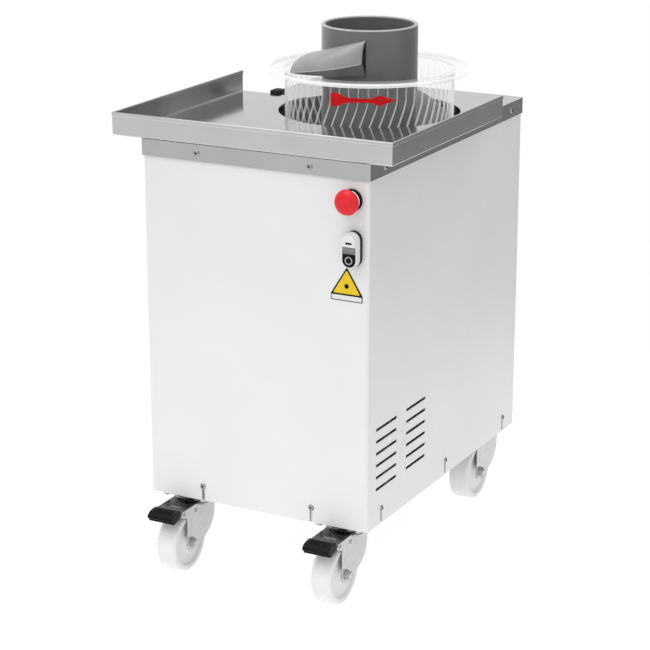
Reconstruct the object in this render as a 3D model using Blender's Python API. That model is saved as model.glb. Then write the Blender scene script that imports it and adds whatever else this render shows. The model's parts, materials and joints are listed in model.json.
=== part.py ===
"""Dough rounding machine on castors: a steel cabinet with a turning clear bowl, a feed tube,
an outfeed tray, a push-button station and an emergency stop. Metres, +Z up, front towards -Y."""

import math

import bmesh
import bpy
from mathutils import Matrix

# ---- Driving dimensions, in the machine's own frame: x from its middle, y back from its front
# face, z up from the floor. MACHINE_X and MACHINE_Y put the whole object's footprint on the origin.
MACHINE_X = 0.0065
MACHINE_Y = -0.27175
BODY_W = 0.400
BODY_D = 0.586
BODY_BOTTOM = 0.127
BODY_BEND = 0.006
SHEET = 0.0015
GAP = 0.0003

WORKTOP_Z = 0.722
WORKTOP_SHEET = 0.002
SKIRT_PROUD = 0.0024
SKIRT_DEPTH = 0.027
SCREW_X = 0.100
BASE_SCREW_Z = 0.152
SIDE_SCREW_Y = (0.050, 0.293, 0.536)

TRAY_LEFT, TRAY_RIGHT = -0.254, 0.241
TRAY_FRONT, TRAY_BACK = -0.005, 0.408
TRAY_WALL = 0.0375
TRAY_SHEET = 0.0015
HEM_DEPTH = 0.007
HEM_THICK = 0.0032

BOWL_X, BOWL_Y = 0.019, 0.361
HOLE_R = 0.1525
BOWL_R = 0.145
BOWL_WALL = 0.004
BOWL_RIB = 0.0035
BOWL_RIBS = 56
BOWL_BOTTOM = 0.612
BOWL_FLOOR = 0.008
FLANGE_R = 0.168
FLANGE_LOW, FLANGE_TOP = 0.791, 0.798

TUBE_R = 0.080
TUBE_WALL = 0.0065
TUBE_TOP = 0.869
TUBE_FOOT = 0.690

DECK_Z = 0.558
WELL_R = 0.1545
MOTOR_PLATE_Z = 0.4553
MOTOR_Y = 0.150
SPINDLE_R = 0.0197
POST_R = 0.012
PULLEY_LOW, PULLEY_HIGH = 0.472, 0.492
DRIVEN_PULLEY_R = 0.080
MOTOR_PULLEY_R = 0.030

CONTROL_X = 0.172
ESTOP_Z = 0.664
ESTOP_HEAD_R = 0.020
ESTOP_REACH = 0.030
SWITCH_X, SWITCH_Z = 0.176, 0.589
SWITCH_W, SWITCH_H = 0.027, 0.056
SWITCH_PROUD = 0.0195
SIGN_X = 0.1628
SIGN_LOW, SIGN_STRIP, SIGN_TIP = 0.5035, 0.5130, 0.5570
SIGN_HALF = 0.0270

GLAND_X, GLAND_Z = -0.120, 0.200

WHEEL_R = 0.050
WHEEL_W = 0.036
CASTOR_TRAIL = 0.038
CASTOR_TOP = 0.127
CROWN_R = 0.033
LEG_INNER, LEG_OUTER = 0.0195, 0.0220
LEVER_HALF = 0.0243
LEVER_SHEET = 0.0020
LEVER_LOW, LEVER_HIGH = 0.1140, 0.1160
TONGUE_HALF = 0.0212
PEDAL_HALF = 0.0235
SWIVELS = {
    "front_left": (-0.143, 0.036),
    "front_right": (0.143, 0.036),
    "rear_left": (-0.146, 0.555),
    "rear_right": (0.146, 0.555),
}

HALF_W = BODY_W / 2
SMALL_STEPS = 16


# ---- Outlines and meshes
def arc(cx, cy, radius, start, end, steps):
    """Points on a circle from start to end, in degrees."""
    angles = [math.radians(start + (end - start) * i / steps) for i in range(steps + 1)]
    return [(cx + radius * math.cos(a), cy + radius * math.sin(a)) for a in angles]


def rounded_box(x0, x1, y0, y1, radius, steps=4):
    """A rectangle with round corners, anticlockwise."""
    corners = ((x1 - radius, y0 + radius, -90), (x1 - radius, y1 - radius, 0),
               (x0 + radius, y1 - radius, 90), (x0 + radius, y0 + radius, 180))
    return [point for cx, cy, start in corners
            for point in arc(cx, cy, radius, start, start + 90, steps)]


def finish_mesh(bm):
    bmesh.ops.remove_doubles(bm, verts=bm.verts, dist=1e-6)
    bmesh.ops.recalc_face_normals(bm, faces=bm.faces)
    mesh = bpy.data.meshes.new("mesh")
    bm.to_mesh(mesh)
    bm.free()
    return mesh


def prism(outline, low, high):
    """A flat outline in x and y, extruded from z = low to z = high."""
    bm = bmesh.new()
    face = bm.faces.new([bm.verts.new((x, y, low)) for x, y in outline])
    grown = bmesh.ops.extrude_face_region(bm, geom=[face])
    risen = [item for item in grown["geom"] if isinstance(item, bmesh.types.BMVert)]
    bmesh.ops.translate(bm, verts=risen, vec=(0, 0, high - low))
    return finish_mesh(bm)


def block(x0, x1, y0, y1, z0, z1):
    return prism([(x0, y0), (x1, y0), (x1, y1), (x0, y1)], z0, z1)


def turned(profile, steps):
    """A profile of (radius, z) spun about z. It closes on itself unless both ends are on the axis."""
    bm = bmesh.new()
    verts = [bm.verts.new((r, 0, z)) for r, z in profile]
    pairs = list(zip(verts, verts[1:]))
    if profile[0][0] > 0 or profile[-1][0] > 0:
        pairs.append((verts[-1], verts[0]))
    edges = [bm.edges.new(pair) for pair in pairs]
    bmesh.ops.spin(bm, geom=verts + edges, cent=(0, 0, 0), axis=(0, 0, 1),
                   angle=math.tau, steps=steps, use_duplicate=False)
    bmesh.ops.dissolve_degenerate(bm, dist=1e-7, edges=bm.edges)
    return finish_mesh(bm)


def rings(stations, closed=False):
    """Skin a list of equal-length point loops; the ends are capped unless the row closes."""
    bm = bmesh.new()
    loops = [[bm.verts.new(point) for point in loop] for loop in stations]
    count = len(loops[0])
    pairs = list(zip(loops, loops[1:])) + ([(loops[-1], loops[0])] if closed else [])
    for first, second in pairs:
        for i in range(count):
            j = (i + 1) % count
            bm.faces.new((first[i], first[j], second[j], second[i]))
    if not closed:
        bm.faces.new(loops[0])
        bm.faces.new(loops[-1])
    return finish_mesh(bm)


def rod(radius, low, high, steps=SMALL_STEPS):
    return turned([(0, low), (radius, low), (radius, high), (0, high)], steps)


def moved(mesh, x=0.0, y=0.0, z=0.0):
    mesh.transform(Matrix.Translation((x, y, z)))
    return mesh


def facing_front(mesh):
    """Turn a mesh so that its +Z points out of the machine's front."""
    mesh.transform(Matrix.Rotation(math.radians(90), 4, "X"))
    return mesh


def along_x(mesh):
    """Turn a mesh so that its +Z lies along +X."""
    mesh.transform(Matrix.Rotation(math.radians(90), 4, "Y"))
    return mesh


def side_view(outline, x0, x1):
    """An outline drawn in y and z, extruded from x0 to x1."""
    mesh = prism(outline, x0, x1)
    mesh.transform(Matrix(((0, 0, 1, 0), (1, 0, 0, 0), (0, 1, 0, 0), (0, 0, 0, 1))))
    return mesh


def together(*meshes):
    """Several separate shapes in one mesh, for use as one cutter."""
    bm = bmesh.new()
    for mesh in meshes:
        bm.from_mesh(mesh)
    return finish_mesh(bm)


def combined(base, tool, operation):
    """An exact Boolean of two meshes."""
    target = bpy.data.objects.new("boolean_target", base)
    cutter = bpy.data.objects.new("boolean_tool", tool)
    for temporary in (target, cutter):
        bpy.context.scene.collection.objects.link(temporary)
    modifier = target.modifiers.new("boolean", "BOOLEAN")
    modifier.operation = operation
    modifier.solver = "EXACT"
    modifier.object = cutter
    depsgraph = bpy.context.evaluated_depsgraph_get()
    result = bpy.data.meshes.new_from_object(target.evaluated_get(depsgraph))
    for temporary in (target, cutter):
        bpy.data.objects.remove(temporary)
    return result


def cut(base, *tools):
    """Cut with tools that stay clear of each other."""
    return combined(base, together(*tools), "DIFFERENCE")


def joined(base, *others):
    for other in others:
        base = combined(base, other, "UNION")
    return base


# ---- Objects and materials
def paint(name, colour, roughness, metallic=0.0, alpha=1.0):
    material = bpy.data.materials.new(name)
    material.use_nodes = True
    shader = material.node_tree.nodes["Principled BSDF"]
    shader.inputs["Base Color"].default_value = (*colour, 1.0)
    shader.inputs["Roughness"].default_value = roughness
    shader.inputs["Metallic"].default_value = metallic
    shader.inputs["Alpha"].default_value = alpha
    return material


def empty(name, location, parent=None):
    guide = bpy.data.objects.new(name, None)
    guide.location = location
    guide.parent = parent
    bpy.context.scene.collection.objects.link(guide)
    return guide


def piece(name, mesh, material, parent, location=(0, 0, 0)):
    mesh.name = name
    mesh.shade_smooth()
    mesh.set_sharp_from_angle(angle=math.radians(30))
    mesh.materials.clear()
    mesh.materials.append(material)
    obj = bpy.data.objects.new(name, mesh)
    obj.location = location
    obj.parent = parent
    bpy.context.scene.collection.objects.link(obj)
    return obj


def make_materials():
    return {
        "white_paint": paint("white_paint", (0.80, 0.80, 0.81), 0.35),
        "stainless": paint("stainless", (0.56, 0.56, 0.57), 0.25, 1.0),
        "galvanised": paint("galvanised", (0.45, 0.46, 0.47), 0.45, 1.0),
        "machined": paint("machined", (0.35, 0.35, 0.36), 0.35, 1.0),
        "chrome": paint("chrome", (0.70, 0.70, 0.70), 0.12, 1.0),
        "clear": paint("clear", (0.90, 0.92, 0.93), 0.05, 0.0, 0.25),
        "grey_plastic": paint("grey_plastic", (0.16, 0.16, 0.17), 0.45),
        "motor_grey": paint("motor_grey", (0.20, 0.21, 0.22), 0.50),
        "nylon": paint("nylon", (0.78, 0.78, 0.76), 0.40),
        "black_plastic": paint("black_plastic", (0.02, 0.02, 0.02), 0.50),
        "rubber": paint("rubber", (0.015, 0.015, 0.015), 0.75),
        "red": paint("red", (0.70, 0.03, 0.04), 0.35),
        "lamp": paint("lamp", (0.30, 0.31, 0.32), 0.25),
        "yellow": paint("yellow", (0.80, 0.52, 0.02), 0.45),
    }


# ---- Cabinet
def base_slots():
    """Open-ended screw slots that run down to the cabinet's bottom edge."""
    reach = 0.005
    slot = 0.0025
    low = BODY_BOTTOM - reach
    fronts = [block(x - slot, x + slot, -reach, reach, low, BASE_SCREW_Z + slot)
              for x in (-SCREW_X, SCREW_X)]
    sides = [block(side - reach, side + reach, y - slot, y + slot, low, BASE_SCREW_Z + slot)
             for side in (-HALF_W, HALF_W) for y in SIDE_SCREW_Y]
    return fronts + sides


def louvres():
    """Two columns of six vent slots through each side."""
    columns = ((0.030, 0.104), (0.139, 0.211))
    lowest, pitch, height = BODY_BOTTOM + 0.0595, 0.020, 0.005
    reach = 0.005
    return [block(side - reach, side + reach, y0, y1, lowest + k * pitch, lowest + k * pitch + height)
            for side in (-HALF_W, HALF_W) for y0, y1 in columns for k in range(6)]


def make_housing(paints, machine):
    returns = 0.020
    back = BODY_D - SHEET - GAP
    outer = [(returns - HALF_W, back), (-HALF_W, back)]
    outer += arc(BODY_BEND - HALF_W, BODY_BEND, BODY_BEND, 180, 270, 5)
    outer += arc(HALF_W - BODY_BEND, BODY_BEND, BODY_BEND, 270, 360, 5)
    outer += [(HALF_W, back), (HALF_W - returns, back)]
    inner_bend = BODY_BEND - SHEET
    inner = [(returns - HALF_W, back - SHEET), (SHEET - HALF_W, back - SHEET)]
    inner += arc(BODY_BEND - HALF_W, BODY_BEND, inner_bend, 180, 270, 5)
    inner += arc(HALF_W - BODY_BEND, BODY_BEND, inner_bend, 270, 360, 5)
    inner += [(HALF_W - SHEET, back - SHEET), (HALF_W - returns, back - SHEET)]
    top = WORKTOP_Z - WORKTOP_SHEET - GAP
    shell = prism(outer + inner[::-1], BODY_BOTTOM, top)
    button_holes = [moved(facing_front(rod(0.0113, -0.010, 0.010)), x, 0, z)
                    for x, z in ((CONTROL_X, ESTOP_Z), (SWITCH_X, SWITCH_Z))]
    shell = cut(shell, *base_slots(), *louvres(), *button_holes)
    piece("housing_shell", shell, paints["white_paint"], machine)

    rear = block(0.001 - HALF_W, HALF_W - 0.001, BODY_D - SHEET, BODY_D, BODY_BOTTOM, top)
    gland_hole = moved(facing_front(rod(0.0085, -0.010, 0.010)), GLAND_X, BODY_D, GLAND_Z)
    piece("rear_panel", cut(rear, gland_hole), paints["white_paint"], machine)


def make_gland(paints, machine):
    """Cable gland in the rear panel: hexagon, domed nut and an inner tail, with a bore through."""
    bore, body, thread = 0.0042, 0.0115, 0.0082
    profile = [(bore, -0.025), (0.0075, -0.025), (0.0100, -0.021), (body, -0.013), (body, -GAP),
               (thread, -GAP), (thread, 0.014), (bore, 0.014)]
    gland = turned(profile, SMALL_STEPS)
    gland.transform(Matrix.Rotation(math.radians(90), 4, "X"))
    piece("cable_gland", gland, paints["black_plastic"], machine, (GLAND_X, BODY_D, GLAND_Z))


def make_base(paints, machine):
    side = HALF_W - SHEET - GAP
    front = SHEET + 2 * GAP
    back = BODY_D - 2 * SHEET - 3 * GAP
    floor = 0.0025
    flange = 0.002
    height = 0.045
    low = BODY_BOTTOM + GAP
    pan = prism(rounded_box(-side, side, front, back, 0.005), low, low + height)
    hollow = block(flange - side, side - flange, front + flange, back - flange, low + floor,
                   low + height + 0.01)
    piece("base_pan", cut(pan, hollow), paints["galvanised"], machine)


def corner_post(x, y, toward_x, toward_y, low, high):
    """An L-section upright whose outer corner is at x, y."""
    leg, thick = 0.025, 0.003
    outline = [(0, 0), (leg, 0), (leg, thick), (thick, thick), (thick, leg), (0, leg)]
    points = [(x + toward_x * px, y + toward_y * py) for px, py in outline]
    return prism(points, low, high)


def make_frame(paints, machine):
    """Four uprights joined by side rails at the motor plate and at the drive deck."""
    side = HALF_W - SHEET - 0.0026
    front, back = 0.066, BODY_D - 0.0062
    low = BODY_BOTTOM + 0.0035
    high = WORKTOP_Z - WORKTOP_SHEET - GAP
    rail = 0.018
    frame = corner_post(-side, front, 1, 1, low, high)
    others = [corner_post(side, front, -1, 1, low, high),
              corner_post(-side, back, 1, -1, low, high),
              corner_post(side, back, -1, -1, low, high)]
    for top in (MOTOR_PLATE_Z - GAP, DECK_Z - GAP):
        others += [block(-side, rail - side, front + 0.002, back - 0.002, top - rail, top),
                   block(side - rail, side, front + 0.002, back - 0.002, top - rail, top)]
    top = DECK_Z - GAP
    others += [block(-side + 0.002, side - 0.002, front, front + rail, top - rail, top),
               block(-side + 0.002, side - 0.002, back - rail, back, top - rail, top)]
    piece("chassis_frame", joined(frame, *others), paints["galvanised"], machine)


def make_worktop(paints, machine):
    """The folded top plate, with a skirt all round and the bowl's hole."""
    edge = HALF_W + SKIRT_PROUD
    inside = HALF_W + 0.0005
    low = WORKTOP_Z - SKIRT_DEPTH
    outline = rounded_box(-edge, edge, -SKIRT_PROUD, BODY_D + SKIRT_PROUD, 0.004)
    plate = prism(outline, low, WORKTOP_Z)
    hollow = prism(rounded_box(-inside, inside, -0.0005, BODY_D + 0.0005, 0.0025), low - 0.01,
                   WORKTOP_Z - WORKTOP_SHEET)
    hole = moved(rod(HOLE_R, WORKTOP_Z - 0.01, WORKTOP_Z + 0.01, 64), BOWL_X, BOWL_Y)
    piece("top_plate", cut(cut(plate, hollow), hole), paints["stainless"], machine)


def make_tray(paints, machine):
    """Outfeed tray: a floor notched round the bowl, and three walls with a folded hem."""
    low = WORKTOP_Z + GAP
    high = WORKTOP_Z + TRAY_WALL
    corners = [(TRAY_LEFT, TRAY_BACK), (TRAY_LEFT, TRAY_FRONT),
               (TRAY_RIGHT, TRAY_FRONT), (TRAY_RIGHT, TRAY_BACK)]
    inward = [(1, 0), (1, 1), (-1, 1), (-1, 0)]
    section = [(0, low), (TRAY_SHEET, low), (TRAY_SHEET, high - HEM_DEPTH),
               (HEM_THICK, high - HEM_DEPTH), (HEM_THICK, high), (0, high)]
    stations = [[(x + dx * inset, y + dy * inset, z) for inset, z in section]
                for (x, y), (dx, dy) in zip(corners, inward)]
    walls = rings(stations)
    floor = block(TRAY_LEFT + 0.0005, TRAY_RIGHT - 0.0005, TRAY_FRONT + 0.0005, TRAY_BACK, low,
                  low + TRAY_SHEET)
    notch = moved(rod(HOLE_R, low - 0.01, low + 0.01, 64), BOWL_X, BOWL_Y)
    piece("outfeed_tray", joined(cut(floor, notch), walls), paints["stainless"], machine)

    stop = prism(rounded_box(-0.009, 0.009, 0, 0.026, 0.004), 0, 0.006)
    piece("tray_stop", stop, paints["rubber"], machine, (-0.190, TRAY_BACK + GAP, WORKTOP_Z + GAP))


# ---- Drive
def make_drive(paints, machine, bowl_axis):
    """Deck with the bowl's well, bearings, hollow spindle, belt drive and gearmotor. The post is fixed
    inside the spindle."""
    half = 0.192
    bearing_r = 0.035
    deck = block(-half, half, 0.190, 0.545, DECK_Z, DECK_Z + 0.003)
    deck_hole = moved(rod(bearing_r + 0.0105, DECK_Z - 0.01, DECK_Z + 0.01, 32), BOWL_X, BOWL_Y)
    well_top = WORKTOP_Z - WORKTOP_SHEET - 2 * GAP
    well = turned([(WELL_R, DECK_Z + 0.001), (WELL_R + SHEET, DECK_Z + 0.001), (WELL_R + SHEET, well_top),
                   (WELL_R, well_top)], 48)
    deck = joined(cut(deck, deck_hole), moved(well, BOWL_X, BOWL_Y))
    piece("drive_deck", deck, paints["motor_grey"], machine)

    housing = turned([(bearing_r, 0.504), (0.045, 0.504), (0.045, DECK_Z + 0.0033),
                      (0.060, DECK_Z + 0.0033), (0.060, 0.567), (bearing_r, 0.567)], 24)
    piece("spindle_housing", housing, paints["machined"], bowl_axis)
    for name, low in (("lower_bearing", 0.505), ("upper_bearing", 0.550)):
        inner, outer = SPINDLE_R + GAP, bearing_r - GAP
        ring = turned([(inner, low), (outer, low), (outer, low + 0.016), (inner, low + 0.016)], 20)
        piece(name, ring, paints["chrome"], bowl_axis)

    seat = BOWL_BOTTOM - GAP
    bore = POST_R + 0.001
    spindle = turned([(bore, 0.468), (SPINDLE_R, 0.468), (SPINDLE_R, 0.600), (0.060, 0.600),
                      (0.060, seat), (0.0250, seat), (0.0250, 0.618), (bore, 0.618)], 24)
    piece("drive_spindle", spindle, paints["machined"], bowl_axis)

    hub = SPINDLE_R + GAP
    driven = turned(pulley_profile(DRIVEN_PULLEY_R, hub), 32)
    piece("driven_pulley", driven, paints["machined"], bowl_axis)
    motor = empty("motor_axis", (BOWL_X, MOTOR_Y, 0), machine)
    shaft_r = 0.0077
    shaft_low, shaft_high = MOTOR_PLATE_Z + GAP, 0.497
    profile = [(0, shaft_low), (shaft_r, shaft_low)] + pulley_profile(MOTOR_PULLEY_R, shaft_r)
    profile += [(shaft_r, shaft_high), (0, shaft_high)]
    piece("motor_pulley", turned(profile, 16), paints["machined"], motor)
    piece("drive_belt", belt_loop(), paints["rubber"], machine)

    plate_top = MOTOR_PLATE_Z + 0.005
    plate = block(-half, half, MOTOR_Y - 0.060, MOTOR_Y + 0.060, MOTOR_PLATE_Z, plate_top)
    shaft_hole = moved(rod(0.012, MOTOR_PLATE_Z - 0.01, plate_top + 0.01), BOWL_X, MOTOR_Y)
    piece("motor_plate", cut(plate, shaft_hole), paints["galvanised"], machine)
    box_low = MOTOR_PLATE_Z - 0.075
    gearbox = prism(rounded_box(-0.045, 0.045, -0.045, 0.045, 0.012), box_low, MOTOR_PLATE_Z - GAP)
    piece("gearbox", gearbox, paints["machined"], motor)
    can = turned([(0, box_low - 0.180), (0.035, box_low - 0.180), (0.043, box_low - 0.172),
                  (0.043, box_low - 0.012), (0.039, box_low - GAP), (0, box_low - GAP)], 20)
    piece("gearmotor", can, paints["motor_grey"], motor)

    bar = block(-half - BOWL_X, half - BOWL_X, -0.016, 0.016, MOTOR_PLATE_Z, MOTOR_PLATE_Z + 0.008)
    post = rod(POST_R, MOTOR_PLATE_Z + 0.002, 0.640)
    piece("centre_post", joined(bar, post), paints["machined"], bowl_axis)


def pulley_profile(radius, bore):
    """Half section of a grooved pulley, from its bore round the rim and back."""
    groove, lip, rim = 0.004, 0.003, 0.003
    low, high = PULLEY_LOW, PULLEY_HIGH
    return [(bore, low), (radius + rim, low), (radius + rim, low + lip),
            (radius - groove, low + lip + 0.002), (radius - groove, high - lip - 0.002),
            (radius + rim, high - lip), (radius + rim, high), (bore, high)]


def belt_loop():
    """A flat belt round both pulleys, in their grooves."""
    slack = 0.0006 - 0.004
    lean = math.degrees(math.asin((DRIVEN_PULLEY_R - MOTOR_PULLEY_R) / (BOWL_Y - MOTOR_Y)))

    def loop(extra):
        big = arc(BOWL_X, BOWL_Y, DRIVEN_PULLEY_R + extra, -lean, 180 + lean, 24)
        small = arc(BOWL_X, MOTOR_Y, MOTOR_PULLEY_R + extra, 180 + lean, 360 - lean, 12)
        return big + small

    inner, outer = loop(slack), loop(slack + 0.004)
    low, high = PULLEY_LOW + 0.0065, PULLEY_HIGH - 0.0065
    stations = [[(*a, low), (*b, low), (*b, high), (*a, high)] for a, b in zip(inner, outer)]
    return rings(stations, closed=True)


# ---- Bowl and guide
def make_bowl(paints, bowl_axis):
    """The clear bowl: a ribbed wall, a floor on the spindle's seat, and a wide rim flange."""
    inner = BOWL_R - BOWL_WALL
    crest = inner - BOWL_RIB
    hole = 0.0253
    floor = BOWL_BOTTOM + BOWL_FLOOR
    profile = [(hole, hole, floor), (hole, hole, BOWL_BOTTOM),
               (inner - 0.006, inner - 0.006, BOWL_BOTTOM), (BOWL_R, BOWL_R, BOWL_BOTTOM + 0.010),
               (BOWL_R, BOWL_R, FLANGE_LOW), (FLANGE_R, FLANGE_R, FLANGE_LOW),
               (FLANGE_R, FLANGE_R, FLANGE_TOP), (inner, inner, FLANGE_TOP),
               (inner, crest, FLANGE_TOP - 0.010), (inner, crest, floor)]
    stations = []
    for i in range(2 * BOWL_RIBS):
        angle = math.tau * i / (2 * BOWL_RIBS)
        x, y = math.cos(angle), math.sin(angle)
        stations.append([(x * pair[i % 2], y * pair[i % 2], pair[2]) for pair in profile])
    piece("bowl", rings(stations, closed=True), paints["clear"], bowl_axis)


def make_arrow(paints, bowl_axis):
    """A thin arrow wrapped on the bowl's outside, showing that it turns anticlockwise from above."""
    inner = BOWL_R + GAP
    outer = inner + 0.0005
    centre = WORKTOP_Z + 0.045
    shape = ((-89.0, 0.0110), (-83.5, 0.0110), (-78.0, 0.0050), (-72.0, 0.0038), (-66.0, 0.0038),
             (-60.5, 0.0040), (-58.0, 0.0088), (-56.0, 0.0090), (-48.5, 0.0008))
    stations = []
    for degrees, half in shape:
        x, y = math.cos(math.radians(degrees)), math.sin(math.radians(degrees))
        stations.append([(x * inner, y * inner, centre - half), (x * outer, y * outer, centre - half),
                         (x * outer, y * outer, centre + half), (x * inner, y * inner, centre + half)])
    piece("rotation_arrow", rings(stations), paints["red"], bowl_axis)


def make_guide(paints, bowl_axis):
    """The fixed feed tube on its hub, the ramp round it and the hood at its top."""
    inner = TUBE_R - TUBE_WALL
    tube = turned([(inner, TUBE_FOOT), (TUBE_R, TUBE_FOOT), (TUBE_R, TUBE_TOP - 0.002),
                   (TUBE_R - 0.002, TUBE_TOP), (inner + 0.002, TUBE_TOP), (inner, TUBE_TOP - 0.002)], 48)
    cap = 0.6403
    hub = turned([(0, cap), (POST_R + GAP, cap), (POST_R + GAP, 0.624), (0.024, 0.624),
                  (0.024, 0.646), (0.016, 0.652), (0, 0.652)], 16)
    arm_half = 0.008
    arms = [block(side * 0.016, side * 0.0795, -arm_half, arm_half, 0.630, 0.640) for side in (-1, 1)]
    legs = [block(min(side * 0.0742, side * 0.0795), max(side * 0.0742, side * 0.0795), -arm_half,
                  arm_half, 0.631, TUBE_FOOT + 0.004) for side in (-1, 1)]
    piece("feed_tube", joined(tube, hub, *arms, *legs), paints["grey_plastic"], bowl_axis)

    start, sweep = -60.0, 210.0
    low, high = 0.632, 0.786
    touch, reach = TUBE_R + 0.0005, BOWL_R - BOWL_WALL - BOWL_RIB - 0.0015
    thick = 0.004
    steps = 28
    stations = []
    for i in range(steps + 1):
        angle = math.radians(start + sweep * i / steps)
        z = low + (high - low) * i / steps
        x, y = math.cos(angle), math.sin(angle)
        stations.append([(x * touch, y * touch, z), (x * reach, y * reach, z),
                         (x * reach, y * reach, z + thick), (x * touch, y * touch, z + thick)])
    piece("spiral_guide", rings(stations), paints["grey_plastic"], bowl_axis)
    piece("guide_hood", hood_mesh(), paints["grey_plastic"], bowl_axis)


def hood_mesh():
    """A sheet that leaves the tube level, curves down to a crease and folds back in below it."""
    steps, curve = 16, 4
    thick = 0.003
    start, end = -138.0, -69.0
    touch = TUBE_R + GAP
    stations = []
    for i in range(steps + 1):
        t = i / steps
        angle = math.radians(start + (end - start) * t)
        top = WORKTOP_Z + 0.1045 + 0.027 * t
        crease_r = 0.136 - 0.044 * t ** 1.2
        crease_z = WORKTOP_Z + 0.070 + 0.030 * t - 0.0055 * t * t
        foot_r = crease_r - 0.001 - 0.003 * t
        foot_z = WORKTOP_Z + 0.0692 + 0.0125 * t - 0.0089 * t * t
        leans = [math.radians(90 * k / curve) for k in range(curve + 1)]
        section = [(touch + (crease_r - touch) * math.sin(a), crease_z + (top - crease_z) * math.cos(a))
                   for a in leans]
        section += [(foot_r, foot_z), (foot_r - thick, foot_z)]
        section += [(touch + (crease_r - thick - touch) * math.sin(a),
                     crease_z + (top - thick - crease_z) * math.cos(a)) for a in leans[::-1]]
        stations.append([(r * math.cos(angle), r * math.sin(angle), z) for r, z in section])
    return rings(stations)


# ---- Controls
def make_estop(paints, machine):
    collar = turned([(0.0068, 0.0004), (0.0170, 0.0004), (0.0170, 0.0040), (0.0145, 0.0105),
                     (0.0068, 0.0105)], 24)
    piece("estop_collar", facing_front(collar), paints["chrome"], machine, (CONTROL_X, 0, ESTOP_Z))
    axis = empty("estop_axis", (CONTROL_X, 0, ESTOP_Z), machine)
    stem = turned([(0, -0.018), (0.0063, -0.018), (0.0063, 0.020), (0.0045, 0.020), (0.0045, 0.023),
                   (0, 0.023)], SMALL_STEPS)
    piece("estop_stem", facing_front(stem), paints["black_plastic"], axis)
    head = turned([(0, 0.0234), (0.0048, 0.0234), (0.0048, 0.0203), (0.0125, 0.0203), (0.0125, 0.0165),
                   (0.0188, 0.0165), (ESTOP_HEAD_R, 0.0185), (ESTOP_HEAD_R, 0.0215), (0.0175, 0.0262),
                   (0.0110, 0.0290), (0, ESTOP_REACH)], 24)
    piece("estop_head", facing_front(head), paints["red"], axis)
    tail = joined(moved(block(-0.015, 0.015, 0, 0.030, -0.020, 0.020), 0, 0.0262),
                  facing_front(rod(0.0108, -0.0268, -0.0020)))
    bore = facing_front(rod(0.0066, -0.024, 0.010))
    piece("estop_block", cut(tail, bore), paints["black_plastic"], machine, (CONTROL_X, 0, ESTOP_Z))


def stadium(width, height, steps=8):
    """An upright slot outline, round at the top and bottom."""
    radius = width / 2
    middle = height / 2 - radius
    return arc(0, middle, radius, 0, 180, steps) + arc(0, -middle, radius, 180, 360, steps)


def make_switch(paints, machine):
    """A double push button: start above, a lamp window, and stop below, in one stadium bezel."""
    wall = 0.0022
    seat = 0.003
    where = (SWITCH_X, 0, SWITCH_Z)
    bezel = prism(stadium(SWITCH_W, SWITCH_H), GAP, SWITCH_PROUD)
    pocket = prism(stadium(SWITCH_W - 2 * wall, SWITCH_H - 2 * wall), seat, SWITCH_PROUD + 0.01)
    piece("switch_bezel", facing_front(cut(bezel, pocket)), paints["black_plastic"], machine, where)

    radius = SWITCH_W / 2 - wall - GAP
    middle = SWITCH_H / 2 - SWITCH_W / 2
    lamp_half = 0.0055
    split = lamp_half + GAP
    travel = 0.003
    back, face = seat + travel + GAP, SWITCH_PROUD + 0.0015
    upper = [(-radius, split), (radius, split)] + arc(0, middle, radius, 0, 180, 10)
    piece("start_button", facing_front(prism(upper, back, face)), paints["nylon"], machine, where)
    lower = [(radius, -split), (-radius, -split)] + arc(0, -middle, radius, 180, 360, 10)
    piece("stop_button", facing_front(prism(lower, back, face)), paints["black_plastic"], machine, where)
    lamp = block(-radius, radius, -lamp_half, lamp_half, seat + GAP, SWITCH_PROUD)
    piece("switch_lamp", facing_front(lamp), paints["lamp"], machine, where)

    neck = facing_front(rod(0.0108, -0.0068, -GAP))
    contacts = joined(block(-0.016, 0.016, 0.0062, 0.041, -0.018, 0.018), neck)
    piece("switch_block", contacts, paints["black_plastic"], machine, where)


def make_electrics(paints, machine):
    box = prism(rounded_box(-0.194, -0.134, 0.100, 0.240, 0.006), 0.290, 0.420)
    piece("control_box", box, paints["lamp"], machine)
    outline = [(-SIGN_HALF, SIGN_LOW), (SIGN_HALF, SIGN_LOW), (SIGN_HALF, SIGN_STRIP), (0, SIGN_TIP),
               (-SIGN_HALF, SIGN_STRIP)]
    sign = prism(outline, GAP, 0.0011)
    piece("hazard_plate", facing_front(sign), paints["yellow"], machine, (SIGN_X, 0, 0))


def make_screws(paints, machine):
    """Dome-headed screws in the worktop's skirt and in the open slots of the front."""
    places = {
        "skirt_screw_left": (-SCREW_X, -SKIRT_PROUD, WORKTOP_Z - 0.014),
        "skirt_screw_right": (SCREW_X, -SKIRT_PROUD, WORKTOP_Z - 0.014),
        "base_screw_left": (-SCREW_X, 0, BASE_SCREW_Z),
        "base_screw_right": (SCREW_X, 0, BASE_SCREW_Z),
    }
    for name, place in places.items():
        head = turned([(0, GAP), (0.0048, GAP), (0.0048, 0.0010), (0.0034, 0.0024), (0, 0.0028)], 12)
        piece(name, facing_front(head), paints["stainless"], machine, place)


# ---- Castors
def castor_plate_mesh():
    """Top plate with its race and king pin."""
    plate = block(-0.042, 0.042, -0.0305, 0.0305, CASTOR_TOP - 0.0028, CASTOR_TOP)
    race = turned([(0, 0.1035), (0.0090, 0.1035), (0.0090, 0.1060), (0.0072, 0.1060), (0.0072, 0.1163),
                   (0.0150, 0.1163), (0.0165, 0.1190), (0.0300, 0.1215), (0.0300, 0.1250),
                   (0, 0.1250)], 16)
    return joined(plate, race)


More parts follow.
